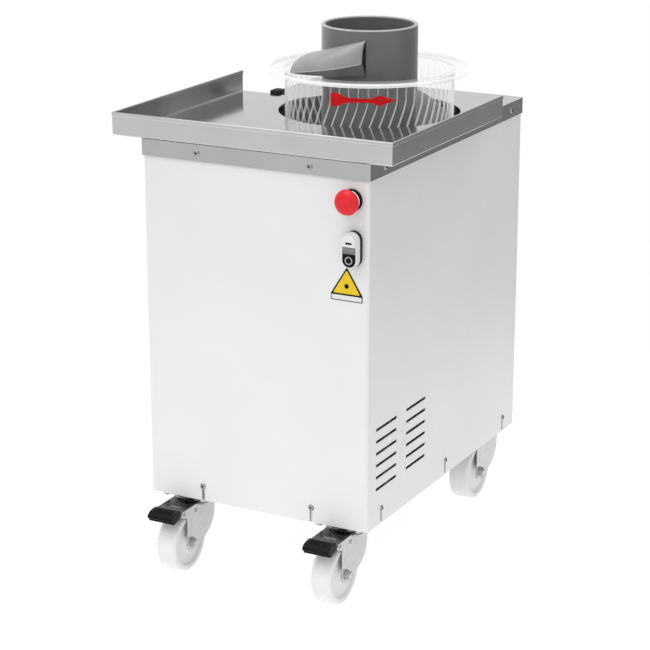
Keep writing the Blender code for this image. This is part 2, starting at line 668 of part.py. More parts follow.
def fork_leg(x0, x1):
    """One broad fork leg from the crown down to the axle."""
    top = 0.1120
    outline = [(-CROWN_R, top), (-0.051, 0.100)]
    outline += arc(-CASTOR_TRAIL, WHEEL_R, 0.014, 180, 300, 4)
    outline += [(-0.004, 0.044), (0.014, 0.052), (0.0275, 0.064), (0.0350, 0.081), (0.0365, 0.096),
                (0.0350, top)]
    return side_view(outline, x0, x1)


def fork_mesh():
    crown = turned([(0, 0.1070), (CROWN_R, 0.1070), (CROWN_R, 0.1105), (0.0300, 0.1130), (0.0175, 0.1130),
                    (0.0165, 0.1155), (0, 0.1155)], 20)
    fork = joined(crown, fork_leg(-LEG_OUTER, -LEG_INNER), fork_leg(LEG_INNER, LEG_OUTER))
    pin_hole = rod(0.0076, 0.100, 0.120, 12)
    axle_hole = moved(along_x(rod(0.0060, -0.03, 0.03, 12)), 0, -CASTOR_TRAIL, WHEEL_R)
    return cut(fork, pin_hole, axle_hole)


def wheel_mesh():
    """A solid wheel about x: crowned tread, sunk web and a hub with the axle's bore."""
    half, hub, bore = WHEEL_W / 2, 0.014, 0.0062
    side = [(bore, half + 0.0012), (hub, half + 0.0012), (hub + 0.001, half - 0.005),
            (0.038, half - 0.005), (0.041, half), (0.0475, half), (WHEEL_R, half - 0.006)]
    return along_x(turned(side + [(r, -x) for r, x in reversed(side)], 28))


def axle_mesh():
    """Axle bolt with its head and its nut outside the fork."""
    fork, shaft = LEG_OUTER + GAP, 0.0057
    profile = [(0, -fork - 0.006), (0.0085, -fork - 0.006), (0.0095, -fork - 0.005), (0.0095, -fork),
               (shaft, -fork), (shaft, fork), (0.0095, fork), (0.0095, fork + 0.007),
               (0.0085, fork + 0.008), (0, fork + 0.008)]
    return along_x(turned(profile, 12))


def brake_lever_mesh():
    """A plate lever with two slots, a narrower tongue and sides that straddle the fork's legs."""
    half, low, high = LEVER_HALF, LEVER_LOW, LEVER_HIGH
    outline = [(-half, -0.018), (-half, -0.0725), (-TONGUE_HALF, -0.0760), (-TONGUE_HALF, -0.094),
               (TONGUE_HALF, -0.094), (TONGUE_HALF, -0.0760), (half, -0.0725), (half, -0.018)]
    plate = prism(outline, low, high)
    sides = [block(x0, x0 + LEVER_SHEET, -0.072, -0.0255, 0.098, high)
             for x0 in (-half, half - LEVER_SHEET)]
    slots = [block(-0.014, 0.014, y, y + 0.006, low - 0.01, high + 0.01) for y in (-0.0585, -0.0285)]
    return cut(joined(plate, *sides), *slots)


def brake_pedal_mesh():
    """The foot pad: a wedge with a lip over a notch, sleeved on the lever's tongue."""
    outline = [(-0.1035, 0.1085), (-0.1020, 0.1130), (-0.0940, 0.1178), (-0.0790, 0.1192),
               (-0.0765, 0.1180), (-0.0765, 0.1085), (-0.0830, 0.1040), (-0.0950, 0.1010),
               (-0.0985, 0.1020), (-0.0985, 0.1060)]
    sleeve = TONGUE_HALF + GAP
    pocket = block(-sleeve, sleeve, -0.0943, -0.07, LEVER_LOW - GAP, LEVER_HIGH + GAP)
    return cut(side_view(outline, -PEDAL_HALF, PEDAL_HALF), pocket)


def make_castors(paints, machine):
    plate, fork, wheel, axle = castor_plate_mesh(), fork_mesh(), wheel_mesh(), axle_mesh()
    lever, pedal = brake_lever_mesh(), brake_pedal_mesh()
    for corner, (x, y) in SWIVELS.items():
        swivel = empty(f"{corner}_swivel", (x, y, 0), machine)
        at_axle = (0, -CASTOR_TRAIL, WHEEL_R)
        piece(f"{corner}_castor_plate", plate.copy(), paints["galvanised"], swivel)
        piece(f"{corner}_fork", fork.copy(), paints["galvanised"], swivel)
        piece(f"{corner}_axle", axle.copy(), paints["galvanised"], swivel, at_axle)
        piece(f"{corner}_wheel", wheel.copy(), paints["nylon"], swivel, at_axle)
        if corner.startswith("front"):
            piece(f"{corner}_brake_lever", lever.copy(), paints["galvanised"], swivel)
            piece(f"{corner}_brake_pedal", pedal.copy(), paints["black_plastic"], swivel)


def main():
    for obj in list(bpy.data.objects):
        bpy.data.objects.remove(obj, do_unlink=True)
    paints = make_materials()
    machine = empty("machine", (MACHINE_X, MACHINE_Y, 0))
    bowl_axis = empty("bowl_axis", (BOWL_X, BOWL_Y, 0), machine)
    make_housing(paints, machine)
    make_gland(paints, machine)
    make_base(paints, machine)
    make_frame(paints, machine)
    make_worktop(paints, machine)
    make_tray(paints, machine)
    make_drive(paints, machine, bowl_axis)
    make_bowl(paints, bowl_axis)
    make_arrow(paints, bowl_axis)
    make_guide(paints, bowl_axis)
    make_estop(paints, machine)
    make_switch(paints, machine)
    make_electrics(paints, machine)
    make_screws(paints, machine)
    make_castors(paints, machine)


main()
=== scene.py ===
"""The looks of the dough rounding machine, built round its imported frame. Metres, +Z up."""

import json
import math

import bmesh
import bpy
from mathutils import Matrix, Vector


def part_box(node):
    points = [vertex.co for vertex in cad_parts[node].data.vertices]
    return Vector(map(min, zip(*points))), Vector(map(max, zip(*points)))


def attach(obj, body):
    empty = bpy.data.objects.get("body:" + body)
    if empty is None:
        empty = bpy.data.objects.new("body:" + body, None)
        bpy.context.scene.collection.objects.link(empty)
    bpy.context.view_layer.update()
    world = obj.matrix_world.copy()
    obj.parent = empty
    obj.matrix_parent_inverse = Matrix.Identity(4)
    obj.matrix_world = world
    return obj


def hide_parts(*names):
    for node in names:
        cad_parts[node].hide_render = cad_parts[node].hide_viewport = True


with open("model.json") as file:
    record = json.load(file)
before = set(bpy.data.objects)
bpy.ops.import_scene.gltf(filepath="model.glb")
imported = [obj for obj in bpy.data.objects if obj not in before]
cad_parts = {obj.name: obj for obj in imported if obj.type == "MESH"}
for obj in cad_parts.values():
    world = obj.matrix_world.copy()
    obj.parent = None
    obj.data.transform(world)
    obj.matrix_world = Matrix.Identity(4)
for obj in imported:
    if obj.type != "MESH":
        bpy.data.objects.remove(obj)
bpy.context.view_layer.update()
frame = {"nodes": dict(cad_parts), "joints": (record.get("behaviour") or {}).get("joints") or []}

# ---- Places, all read from the frame
JOINTS = {joint["name"]: joint for joint in frame["joints"]}
HOUSING_LOW, HOUSING_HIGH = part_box("housing_shell")
PLATE_LOW, PLATE_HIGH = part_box("top_plate")
TRAY_LOW, TRAY_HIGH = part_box("outfeed_tray")
BOWL_LOW, BOWL_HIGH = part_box("bowl")
TUBE_LOW, TUBE_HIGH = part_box("feed_tube")
AXIS = Vector(JOINTS["bowl_spin"]["pos_m"])
MIDDLE_X = (HOUSING_LOW.x + HOUSING_HIGH.x) / 2
FRONT_Y = HOUSING_LOW.y
WORKTOP_Z = PLATE_HIGH.z
BOWL_AT = Vector((AXIS.x, AXIS.y, 0))
CORNERS = ("front_left", "front_right", "rear_left", "rear_right")

# ---- Sizes that several pieces share
GAP = 0.0003
SHEET = 0.0014
HOLE_R = 0.1525
BOWL_R, BOWL_WALL = 0.145, 0.0038
BOWL_FLOOR = BOWL_LOW.z + 0.008
RIBS, RIB_BEND_Z = 56, WORKTOP_Z + 0.044
TUBE_R, TUBE_FOOT = 0.080, 0.690
HOOD_TOUCH = TUBE_R + GAP
HOOD_START, HOOD_END, HOOD_STEPS = -138.0, -68.0, 72
PANEL_PROUD = 0.0018
LEG_INNER, LEG_OUTER = 0.0195, 0.0220
LEVER_Z = (0.1140, 0.1160)
LEVER_SHEET = 0.0020
LEVER_SLOTS = ((-0.0285, -0.0225), (-0.0585, -0.0525))
SCREW_ROWS = (0.050, 0.293, 0.536)
STAGE_R = 1.25


def machine(x, y, z):
    """A point given from the middle of the machine's front face, at floor level."""
    return Vector((MIDDLE_X + x, FRONT_Y + y, z))


# ---- Shapes
def arc(cx, cy, radius, start, end, steps):
    angles = [math.radians(start + (end - start) * i / steps) for i in range(steps + 1)]
    return [(cx + radius * math.cos(a), cy + radius * math.sin(a)) for a in angles]


def filleted(outline, radius, steps=4):
    """A closed outline with each corner rounded, as far as its sides allow."""
    points = [Vector(point) for point in outline]
    rounded = []
    for i, corner in enumerate(points):
        before, after = points[i - 1] - corner, points[(i + 1) % len(points)] - corner
        half = before.angle(after) / 2
        reach = min(radius / max(math.tan(half), 0.05), before.length * 0.48, after.length * 0.48)
        start, end = corner + before.normalized() * reach, corner + after.normalized() * reach
        for k in range(steps + 1):
            t = k / steps
            rounded.append(tuple(start * (1 - t) ** 2 + corner * 2 * t * (1 - t) + end * t ** 2))
    return rounded


def rounded_box(x0, x1, y0, y1, radius, steps=5):
    return filleted([(x0, y0), (x1, y0), (x1, y1), (x0, y1)], radius, steps)


def finish_mesh(bm):
    bmesh.ops.remove_doubles(bm, verts=bm.verts, dist=1e-6)
    bmesh.ops.recalc_face_normals(bm, faces=bm.faces)
    mesh = bpy.data.meshes.new("mesh")
    bm.to_mesh(mesh)
    bm.free()
    return mesh


def raised(bm, faces, height):
    """Flat faces extruded up by a height."""
    grown = bmesh.ops.extrude_face_region(bm, geom=faces)
    risen = [item for item in grown["geom"] if isinstance(item, bmesh.types.BMVert)]
    bmesh.ops.translate(bm, verts=risen, vec=(0, 0, height))
    return finish_mesh(bm)


def prism(outline, low, high):
    """An outline of (x, y) points extruded from one height to another."""
    bm = bmesh.new()
    face = bm.faces.new([bm.verts.new((x, y, low)) for x, y in outline])
    return raised(bm, [face], high - low)


def rings(stations, closed=False):
    """Skin a row of equal loops; the ends are capped unless the row closes."""
    bm = bmesh.new()
    loops = [[bm.verts.new(point) for point in loop] for loop in stations]
    count = len(loops[0])
    pairs = list(zip(loops, loops[1:])) + ([(loops[-1], loops[0])] if closed else [])
    for first, second in pairs:
        for i in range(count):
            j = (i + 1) % count
            bm.faces.new((first[i], first[j], second[j], second[i]))
    if not closed:
        bm.faces.new(loops[0])
        bm.faces.new(loops[-1])
    return finish_mesh(bm)


def turned(profile, steps=64):
    """A profile of (radius, z) spun about z. It closes on itself unless both ends are on the axis."""
    bm = bmesh.new()
    verts = [bm.verts.new((r, 0, z)) for r, z in profile]
    pairs = list(zip(verts, verts[1:]))
    if profile[0][0] > 0 or profile[-1][0] > 0:
        pairs.append((verts[-1], verts[0]))
    edges = [bm.edges.new(pair) for pair in pairs]
    bmesh.ops.spin(bm, geom=verts + edges, cent=(0, 0, 0), axis=(0, 0, 1),
                   angle=math.tau, steps=steps, use_duplicate=False)
    bmesh.ops.dissolve_degenerate(bm, dist=1e-7, edges=bm.edges)
    return finish_mesh(bm)


def swung(section, angle):
    """A section of (radius, z) stood up at an angle, in radians, round the z axis."""
    return [(r * math.cos(angle), r * math.sin(angle), z) for r, z in section]


def hexagon(across, low, high):
    return prism(arc(0, 0, across / math.sqrt(3), 0, 300, 5), low, high)


def joined(*meshes):
    bm = bmesh.new()
    for mesh in meshes:
        bm.from_mesh(mesh)
    mesh = bpy.data.meshes.new("mesh")
    bm.to_mesh(mesh)
    bm.free()
    return mesh


def turn(mesh, axis, degrees):
    mesh.transform(Matrix.Rotation(math.radians(degrees), 4, axis))
    return mesh


def shift(mesh, x=0.0, y=0.0, z=0.0):
    mesh.transform(Matrix.Translation((x, y, z)))
    return mesh


def facing_front(mesh):
    return turn(mesh, "X", 90)


def side_view(mesh):
    """Stand a mesh drawn as (y, z) and extruded up so that it is extruded along x."""
    mesh.transform(Matrix(((0, 0, 1, 0), (1, 0, 0, 0), (0, 1, 0, 0), (0, 0, 0, 1))))
    return mesh


# ---- Materials
class Surface:
    """A Principled material with a few procedural layers."""

    def __init__(self, name, roughness, metallic=0.0, **sockets):
        self.material = bpy.data.materials.new(name)
        self.material.use_nodes = True
        self.tree = self.material.node_tree
        self.shader = self.tree.nodes["Principled BSDF"]
        self.shader.inputs["Roughness"].default_value = roughness
        self.shader.inputs["Metallic"].default_value = metallic
        for socket, value in sockets.items():
            self.shader.inputs[socket.replace("_", " ")].default_value = value
        self.coords = self.tree.nodes.new("ShaderNodeTexCoord")

    def noise(self, scale, stretch=(1, 1, 1), detail=4.0, rough=0.55):
        mapping = self.tree.nodes.new("ShaderNodeMapping")
        mapping.inputs["Scale"].default_value = stretch
        texture = self.tree.nodes.new("ShaderNodeTexNoise")
        texture.inputs["Scale"].default_value = scale
        texture.inputs["Detail"].default_value = detail
        texture.inputs["Roughness"].default_value = rough
        self.tree.links.new(self.coords.outputs["Object"], mapping.inputs["Vector"])
        self.tree.links.new(mapping.outputs["Vector"], texture.inputs["Vector"])
        return texture.outputs["Fac"]

    def colour(self, source, low, high, start=0.3, end=0.7):
        ramp = self.tree.nodes.new("ShaderNodeValToRGB")
        ramp.color_ramp.elements[0].position = start
        ramp.color_ramp.elements[0].color = (*low, 1.0)
        ramp.color_ramp.elements[1].position = end
        ramp.color_ramp.elements[1].color = (*high, 1.0)
        self.tree.links.new(source, ramp.inputs["Fac"])
        self.tree.links.new(ramp.outputs["Color"], self.shader.inputs["Base Color"])
        return self

    def roughness(self, source, low, high):
        spread = self.tree.nodes.new("ShaderNodeMapRange")
        spread.inputs["From Min"].default_value = 0.3
        spread.inputs["From Max"].default_value = 0.7
        spread.inputs["To Min"].default_value = low
        spread.inputs["To Max"].default_value = high
        self.tree.links.new(source, spread.inputs["Value"])
        self.tree.links.new(spread.outputs["Result"], self.shader.inputs["Roughness"])
        return self

    def bump(self, source, strength, distance):
        node = self.tree.nodes.new("ShaderNodeBump")
        node.inputs["Strength"].default_value = strength
        node.inputs["Distance"].default_value = distance
        self.tree.links.new(source, node.inputs["Height"])
        self.tree.links.new(node.outputs["Normal"], self.shader.inputs["Normal"])
        return self


def powder_coat():
    """White powder coat with a faint orange peel."""
    s = Surface("powder_coat", 0.38)
    s.colour(s.noise(5), (0.755, 0.757, 0.76), (0.79, 0.792, 0.795))
    return s.roughness(s.noise(60), 0.33, 0.45).bump(s.noise(1100, detail=2.0), 0.10, 0.0002)


def polished_steel():
    """Sheet steel, polished along x, with faint scratches."""
    s = Surface("polished_steel", 0.12, 1.0)
    s.colour(s.noise(9), (0.48, 0.48, 0.485), (0.54, 0.54, 0.545))
    lines = s.noise(500, stretch=(0.04, 1, 1))
    return s.roughness(lines, 0.09, 0.15).bump(lines, 0.01, 0.0001)


def brushed_steel():
    """The skirt and the tray's walls: satin, brushed lengthways."""
    s = Surface("brushed_steel", 0.22, 1.0)
    s.colour(s.noise(12), (0.58, 0.58, 0.585), (0.63, 0.63, 0.635))
    lines = s.noise(700, stretch=(0.02, 0.02, 1), detail=2.0)
    return s.roughness(lines, 0.20, 0.25).bump(lines, 0.006, 0.0001)


def zinc():
    """Bright zinc plate, slightly uneven in tone."""
    s = Surface("zinc", 0.28, 1.0)
    s.colour(s.noise(45, detail=2.0), (0.50, 0.503, 0.507), (0.57, 0.57, 0.57))
    return s.roughness(s.noise(60, detail=2.0), 0.25, 0.32)


def dark_zinc():
    """The brake levers' darker plate."""
    s = Surface("dark_zinc", 0.24, 1.0)
    s.colour(s.noise(120), (0.09, 0.09, 0.093), (0.15, 0.15, 0.153))
    return s.roughness(s.noise(200), 0.18, 0.32)


def machined_steel():
    s = Surface("machined_steel", 0.32, 1.0)
    rings_of_tool = s.noise(700, stretch=(0.1, 0.1, 1), detail=3.0)
    s.colour(s.noise(30), (0.30, 0.30, 0.31), (0.42, 0.42, 0.43))
    return s.roughness(rings_of_tool, 0.25, 0.42).bump(rings_of_tool, 0.2, 0.0002)


def chrome():
    s = Surface("chrome", 0.1, 1.0)
    s.colour(s.noise(50), (0.68, 0.69, 0.70), (0.78, 0.78, 0.78))
    return s.roughness(s.noise(300), 0.05, 0.16)


def clear_plastic():
    s = Surface("clear_plastic", 0.06, Alpha=0.04, Specular_IOR_Level=1.0)
    s.colour(s.noise(15), (0.88, 0.89, 0.895), (0.95, 0.955, 0.96))
    return s.roughness(s.noise(90), 0.03, 0.12).bump(s.noise(140), 0.03, 0.0003)


def clear_rim():
    """The bowl's flange, hazier than its wall."""
    s = Surface("clear_rim", 0.08, Alpha=0.20, Specular_IOR_Level=0.9)
    s.colour(s.noise(20), (0.93, 0.935, 0.94), (0.98, 0.98, 0.98))
    return s.roughness(s.noise(90), 0.04, 0.14).bump(s.noise(140), 0.02, 0.0003)


def clear_rib_glow():
    """The same plastic for the ribs, with a faint glow and more opacity: painted highlight for the light
    lines they show.
    """
    s = Surface("clear_rib_glow", 0.08, Alpha=0.22, Specular_IOR_Level=0.9,
                Emission_Color=(1, 1, 1, 1), Emission_Strength=0.3)
    s.colour(s.noise(30), (0.95, 0.955, 0.96), (0.99, 0.99, 0.99))
    return s.roughness(s.noise(120), 0.04, 0.14).bump(s.noise(200), 0.03, 0.0002)


def clear_lip():
    """The flange's rolled edge, with a faint glow and more opacity: painted highlight along the rim."""
    s = Surface("clear_lip", 0.08, Alpha=0.42, Specular_IOR_Level=0.9,
                Emission_Color=(1, 1, 1, 1), Emission_Strength=0.3)
    s.colour(s.noise(30), (0.95, 0.955, 0.96), (0.99, 0.99, 0.99))
    return s.roughness(s.noise(120), 0.04, 0.14).bump(s.noise(200), 0.03, 0.0002)


def grey_moulding():
    """Satin grey plastic, lightly mottled, paler at a glancing view."""
    s = Surface("grey_moulding", 0.36, Coat_Weight=0.25, Coat_Roughness=0.25, Sheen_Weight=0.35,
                Sheen_Roughness=0.35)
    s.colour(s.noise(25), (0.122, 0.122, 0.124), (0.148, 0.148, 0.150))
    return s.roughness(s.noise(150), 0.30, 0.44).bump(s.noise(1300, detail=2.0), 0.08, 0.0002)


def lit_grey_moulding():
    """The hood, painted paler than the tube it leaves: painted light for the light on its upward face."""
    s = Surface("lit_grey_moulding", 0.34, Coat_Weight=0.3, Coat_Roughness=0.2)
    s.colour(s.noise(25), (0.30, 0.30, 0.302), (0.35, 0.35, 0.353))
    return s.roughness(s.noise(150), 0.28, 0.42).bump(s.noise(1300, detail=2.0), 0.06, 0.0002)


def edge_highlight_grey():
    """The tube's cut rim and the hood's crease bead, painted paler than the moulded sides: painted highlight
    along those edges.
    """
    s = Surface("edge_highlight_grey", 0.4)
    s.colour(s.noise(60), (0.42, 0.42, 0.42), (0.52, 0.52, 0.52))
    return s.roughness(s.noise(400), 0.32, 0.48).bump(s.noise(900, stretch=(1, 1, 0.1)), 0.08, 0.0001)


def painted_shade_dark():
    """Dull near-black: painted shade, put on the parts under the bowl so that the well beneath it reads
    dark.
    """
    s = Surface("painted_shade_dark", 0.6, Specular_IOR_Level=0.2)
    s.colour(s.noise(40), (0.018, 0.018, 0.019), (0.032, 0.032, 0.034))
    return s.roughness(s.noise(200), 0.52, 0.70).bump(s.noise(800), 0.15, 0.0003)


def painted_grey():
    s = Surface("painted_grey", 0.5)
    s.colour(s.noise(30), (0.13, 0.14, 0.15), (0.18, 0.19, 0.20))
    return s.roughness(s.noise(200), 0.42, 0.58).bump(s.noise(800), 0.15, 0.0003)


def nylon():
    """White nylon, slightly translucent, with a moulded skin."""
    s = Surface("nylon", 0.42, Subsurface_Weight=0.15, Subsurface_Scale=0.004)
    s.colour(s.noise(40), (0.74, 0.74, 0.735), (0.80, 0.80, 0.795))
    return s.roughness(s.noise(250), 0.34, 0.50).bump(s.noise(900, detail=2.0), 0.08, 0.0002)


def black_plastic():
    s = Surface("black_plastic", 0.40, Specular_IOR_Level=0.12)
    s.colour(s.noise(120), (0.003, 0.003, 0.0034), (0.007, 0.007, 0.0078))
    return s.roughness(s.noise(500), 0.34, 0.50).bump(s.noise(2200, detail=2.0), 0.15, 0.0002)


def rubber():
    s = Surface("rubber", 0.75, Specular_IOR_Level=0.25)
    s.colour(s.noise(150), (0.010, 0.010, 0.010), (0.028, 0.028, 0.028))
    return s.roughness(s.noise(600), 0.65, 0.85).bump(s.noise(1500), 0.4, 0.0002)


def red_plastic():
    s = Surface("red_plastic", 0.32, Specular_IOR_Level=0.35)
    s.colour(s.noise(60), (0.70, 0.010, 0.018), (0.78, 0.016, 0.026))
    return s.roughness(s.noise(300), 0.24, 0.36).bump(s.noise(1200, detail=2.0), 0.06, 0.0002)


def red_film():
    s = Surface("red_film", 0.5, Specular_IOR_Level=0.2)
    s.colour(s.noise(90), (0.66, 0.004, 0.008), (0.76, 0.008, 0.012))
    return s.roughness(s.noise(300), 0.42, 0.60).bump(s.noise(900), 0.08, 0.0001)


def light_plastic():
    s = Surface("light_plastic", 0.35)
    s.colour(s.noise(80), (0.70, 0.71, 0.72), (0.78, 0.78, 0.79))
    return s.roughness(s.noise(300), 0.28, 0.42).bump(s.noise(1500, detail=2.0), 0.08, 0.0001)


def lamp_window():
    """Smoked lens, in faint streaks running across it."""
    s = Surface("lamp_window", 0.18)
    s.colour(s.noise(90, stretch=(0.2, 1, 1)), (0.12, 0.125, 0.13), (0.24, 0.245, 0.25))
    return s.roughness(s.noise(400), 0.12, 0.24).bump(s.noise(600, stretch=(0.1, 1, 1)), 0.2, 0.0002)


def box_grey():
    s = Surface("box_grey", 0.5)
    s.colour(s.noise(40), (0.40, 0.41, 0.42), (0.47, 0.48, 0.49))
    return s.roughness(s.noise(300), 0.42, 0.58).bump(s.noise(900), 0.15, 0.0002)


def yellow_film():
    s = Surface("yellow_film", 0.45, Specular_IOR_Level=0.3)
    s.colour(s.noise(110), (0.74, 0.50, 0.010), (0.84, 0.60, 0.018))
    return s.roughness(s.noise(400), 0.36, 0.55).bump(s.noise(900), 0.06, 0.0001)


def ring_grey():
    s = Surface("ring_grey", 0.4)
    s.colour(s.noise(200), (0.30, 0.30, 0.31), (0.38, 0.38, 0.39))
    return s.roughness(s.noise(600), 0.32, 0.46)


def floor_paint():
    s = Surface("floor_paint", 0.8, Emission_Color=(1, 1, 1, 1), Emission_Strength=0.82)
    s.colour(s.noise(1.5), (0.30, 0.30, 0.30), (0.33, 0.33, 0.33))
    return s.roughness(s.noise(20), 0.62, 0.78)


PAINTS = {build.__name__: build().material for build in (
    powder_coat, polished_steel, brushed_steel, zinc, dark_zinc, machined_steel, chrome, clear_plastic,
    clear_rim, clear_rib_glow, clear_lip, grey_moulding, lit_grey_moulding, edge_highlight_grey, painted_shade_dark,
    painted_grey, nylon, black_plastic, rubber, red_plastic, red_film, light_plastic, lamp_window,
    box_grey, yellow_film, ring_grey, floor_paint)}


# ---- Pieces
def soften(obj, width, segments=2, angle=28):
    """Round the edges of a sheet or a block."""
    weld = obj.modifiers.new("weld", "WELD")
    weld.merge_threshold = 0.00001
    bevel = obj.modifiers.new("bevel", "BEVEL")
    bevel.width = width
    bevel.segments = segments
    bevel.limit_method = "ANGLE"
    bevel.angle_limit = math.radians(angle)
    bevel.use_clamp_overlap = True
    bevel.harden_normals = True


def piece(name, mesh, paint, body, at=(0, 0, 0), replaces=(), edge=0.0, sharp=32):
    """A finished mesh as an object that rides a body of the frame, in a slot of the material table."""
    mesh.name = name
    mesh.shade_smooth()
    mesh.set_sharp_from_angle(angle=math.radians(sharp))
    mesh.materials.clear()
    mesh.materials.append(PAINTS[paint])
    obj = bpy.data.objects.new(name, mesh)
    bpy.context.scene.collection.objects.link(obj)
    obj.location = at
    if edge:
        soften(obj, edge)
    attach(obj, body)
    if replaces:
        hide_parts(*replaces)
    return obj


def dress(node, paint, edge=0.0, segments=2):
    """Keep a CAD node, with a finished material and rounded edges."""
    obj = frame["nodes"][node]
    obj.data.materials.clear()
    obj.data.materials.append(PAINTS[paint])
    if edge:
        soften(obj, edge, segments)


# ---- Cabinet
def make_cabinet():
    """The CAD's own sheets and inner parts, finished."""
    dress("housing_shell", "powder_coat", 0.0004)
    dress("rear_panel", "powder_coat", 0.0004)
    dress("base_pan", "zinc", 0.0006)
    dress("top_plate", "polished_steel", 0.0012, 3)
    dress("tray_stop", "rubber", 0.0012, 3)
    for node in ("chassis_frame", "motor_plate"):
        dress(node, "zinc")
    # painted shade: the parts under the bowl take the near-black for the dark of the well
    for node in ("drive_deck", "spindle_housing", "drive_spindle"):
        dress(node, "painted_shade_dark")
    for node in ("driven_pulley", "motor_pulley", "centre_post"):
        dress(node, "machined_steel")
    dress("gearbox", "painted_grey", 0.001)
    dress("gearmotor", "painted_grey")
    for node in ("upper_bearing", "lower_bearing"):
        dress(node, "chrome")
    dress("drive_belt", "rubber")
    dress("control_box", "box_grey", 0.001)


def tray_section(low, high):
    """Half section of a tray wall, from its outer foot up over the hem and down to the floor.
    Each point is (inset from the outer face, z)."""
    hem, proud, bend = 0.0065, 0.0007, 0.0028
    points = [(bend + proud, low)]
    points += [(bend + proud - bend * math.sin(a), low + bend - bend * math.cos(a))
               for a in (math.radians(d) for d in (22, 45, 68, 90))]
    points += [(proud, high - hem), (0.0002, high - hem + 0.0004), (0, high - hem + 0.0010)]
    rim = 0.0016
    points += [(rim - rim * math.cos(a), high - rim + rim * math.sin(a))
               for a in (math.radians(d) for d in (0, 25, 50, 75, 90, 105, 130, 155, 180))]
    points += [(2 * rim, high - hem), (proud + SHEET, high - hem - 0.0004)]
    inner = bend - SHEET * 0.5
    points += [(proud + SHEET + inner - inner * math.cos(a), low + SHEET + inner - inner * math.sin(a))
               for a in (math.radians(d) for d in (0, 22, 45, 68, 90))]
    points += [(0.012, low + SHEET), (0.012, low)]
    return points


def make_tray():
    """Floor, and three walls with bent feet and folded hems."""
    low, high = TRAY_LOW.z, TRAY_HIGH.z
    section = tray_section(low, high)
    left, right, front, back = TRAY_LOW.x, TRAY_HIGH.x, TRAY_LOW.y, TRAY_HIGH.y
    corners = [(left, back, 1, 0), (left, front, 1, 1), (right, front, -1, 1), (right, back, -1, 0)]
    stations = [[(x + dx * inset, y + dy * inset, z) for inset, z in section]
                for x, y, dx, dy in corners]
    piece("tray_walls", rings(stations), "brushed_steel", "machine",
          replaces=("outfeed_tray",), sharp=50)

    inset = 0.0118
    start = math.degrees(math.asin((back - AXIS.y) / HOLE_R))
    outline = [(left + inset, back), (left + inset, front + inset), (right - inset, front + inset),
               (right - inset, back)]
    outline += arc(AXIS.x, AXIS.y, HOLE_R, start, -180 - start, 96)
    piece("tray_floor", prism(outline, low, low + SHEET), "polished_steel", "machine",
          edge=0.0003)


# ---- Bowl
def rib_lean(z):
    """How far a rib has turned back at height z: it is upright above the bend, slanted below it."""
    below = max(RIB_BEND_Z - z, 0.0)
    return math.radians(168.0) * below ** 2 / (below + 0.014)


def make_bowl():
    """Clear moulding with a rounded foot and a wide rolled rim, and ribs up the inside of its wall."""
    inner = BOWL_R - BOWL_WALL
    flange = (BOWL_HIGH.x - BOWL_LOW.x) / 2
    low, high = BOWL_LOW.z, BOWL_HIGH.z
    foot, hub = 0.012, 0.0253
    wall = [(hub, low), (hub, BOWL_FLOOR), (inner - 0.010, BOWL_FLOOR)]
    wall += arc(inner - 0.010, BOWL_FLOOR + 0.010, 0.010, -90, 0, 5)[1:]
    wall += [(inner, high - 0.0120), (inner + 0.0002, high - 0.0072), (BOWL_R - 0.0002, high - 0.0072),
             (BOWL_R, high - 0.0120)]
    wall += arc(BOWL_R - foot, low + foot, foot, 0, -90, 6)
    piece("clear_bowl", turned(wall, 168), "clear_plastic", "turning_bowl", at=BOWL_AT,
          replaces=("bowl",), sharp=48)
    rim = [(inner, high - 0.0070), (inner, high - 0.0020), (inner + 0.0008, high - 0.0006),
           (inner + 0.002, high), (flange - 0.0040, high), (flange - 0.0016, high - 0.0004),
           (flange - 0.0004, high - 0.0016), (flange, high - 0.0032), (flange - 0.0002, high - 0.0060),
           (flange - 0.0012, high - 0.0070), (flange - 0.0030, high - 0.0068),
           (flange - 0.0040, high - 0.0056), (flange - 0.0050, high - 0.0034),
           (BOWL_R + 0.0050, high - 0.0032), (BOWL_R + 0.0012, high - 0.0044),
           (BOWL_R, high - 0.0070)]
    piece("bowl_rim", turned(rim, 168), "clear_rim", "turning_bowl", at=BOWL_AT, sharp=48)
    lip = [(flange - 0.0022, high - 0.0004), (flange - 0.0004, high - 0.0014), (flange, high - 0.0032),
           (flange, high - 0.0058), (flange - 0.0010, high - 0.0070), (flange - 0.0026, high - 0.0066)]
    # painted highlight: the rolled edge glows faintly
    piece("bowl_lip", turned(lip, 168), "clear_lip", "turning_bowl", at=BOWL_AT, sharp=60)
    ribs = []
    start, end, steps = BOWL_FLOOR + 0.004, high - 0.010, 26
    for k in range(RIBS):
        stations = []
        for i in range(steps + 1):
            z = start + (end - start) * i / steps
            depth = 0.0030 * min(1.0, (end - z) / 0.014 + 0.15)
            angle = math.tau * k / RIBS - rib_lean(z)
            half = 0.0006 + 0.0010 * min(max(RIB_BEND_Z - z, 0.0) / 0.040, 1.0)
            section = ((inner + 0.0002, -half), (inner - depth, -half * 0.45),
                       (inner - depth, half * 0.45), (inner + 0.0002, half))
            stations.append([(r * math.cos(angle + w / r), r * math.sin(angle + w / r), z)
                             for r, w in section])
        ribs.append(rings(stations))
    # painted highlight: the ribs glow faintly
    piece("bowl_ribs", joined(*ribs), "clear_rib_glow", "turning_bowl", at=BOWL_AT, sharp=60)


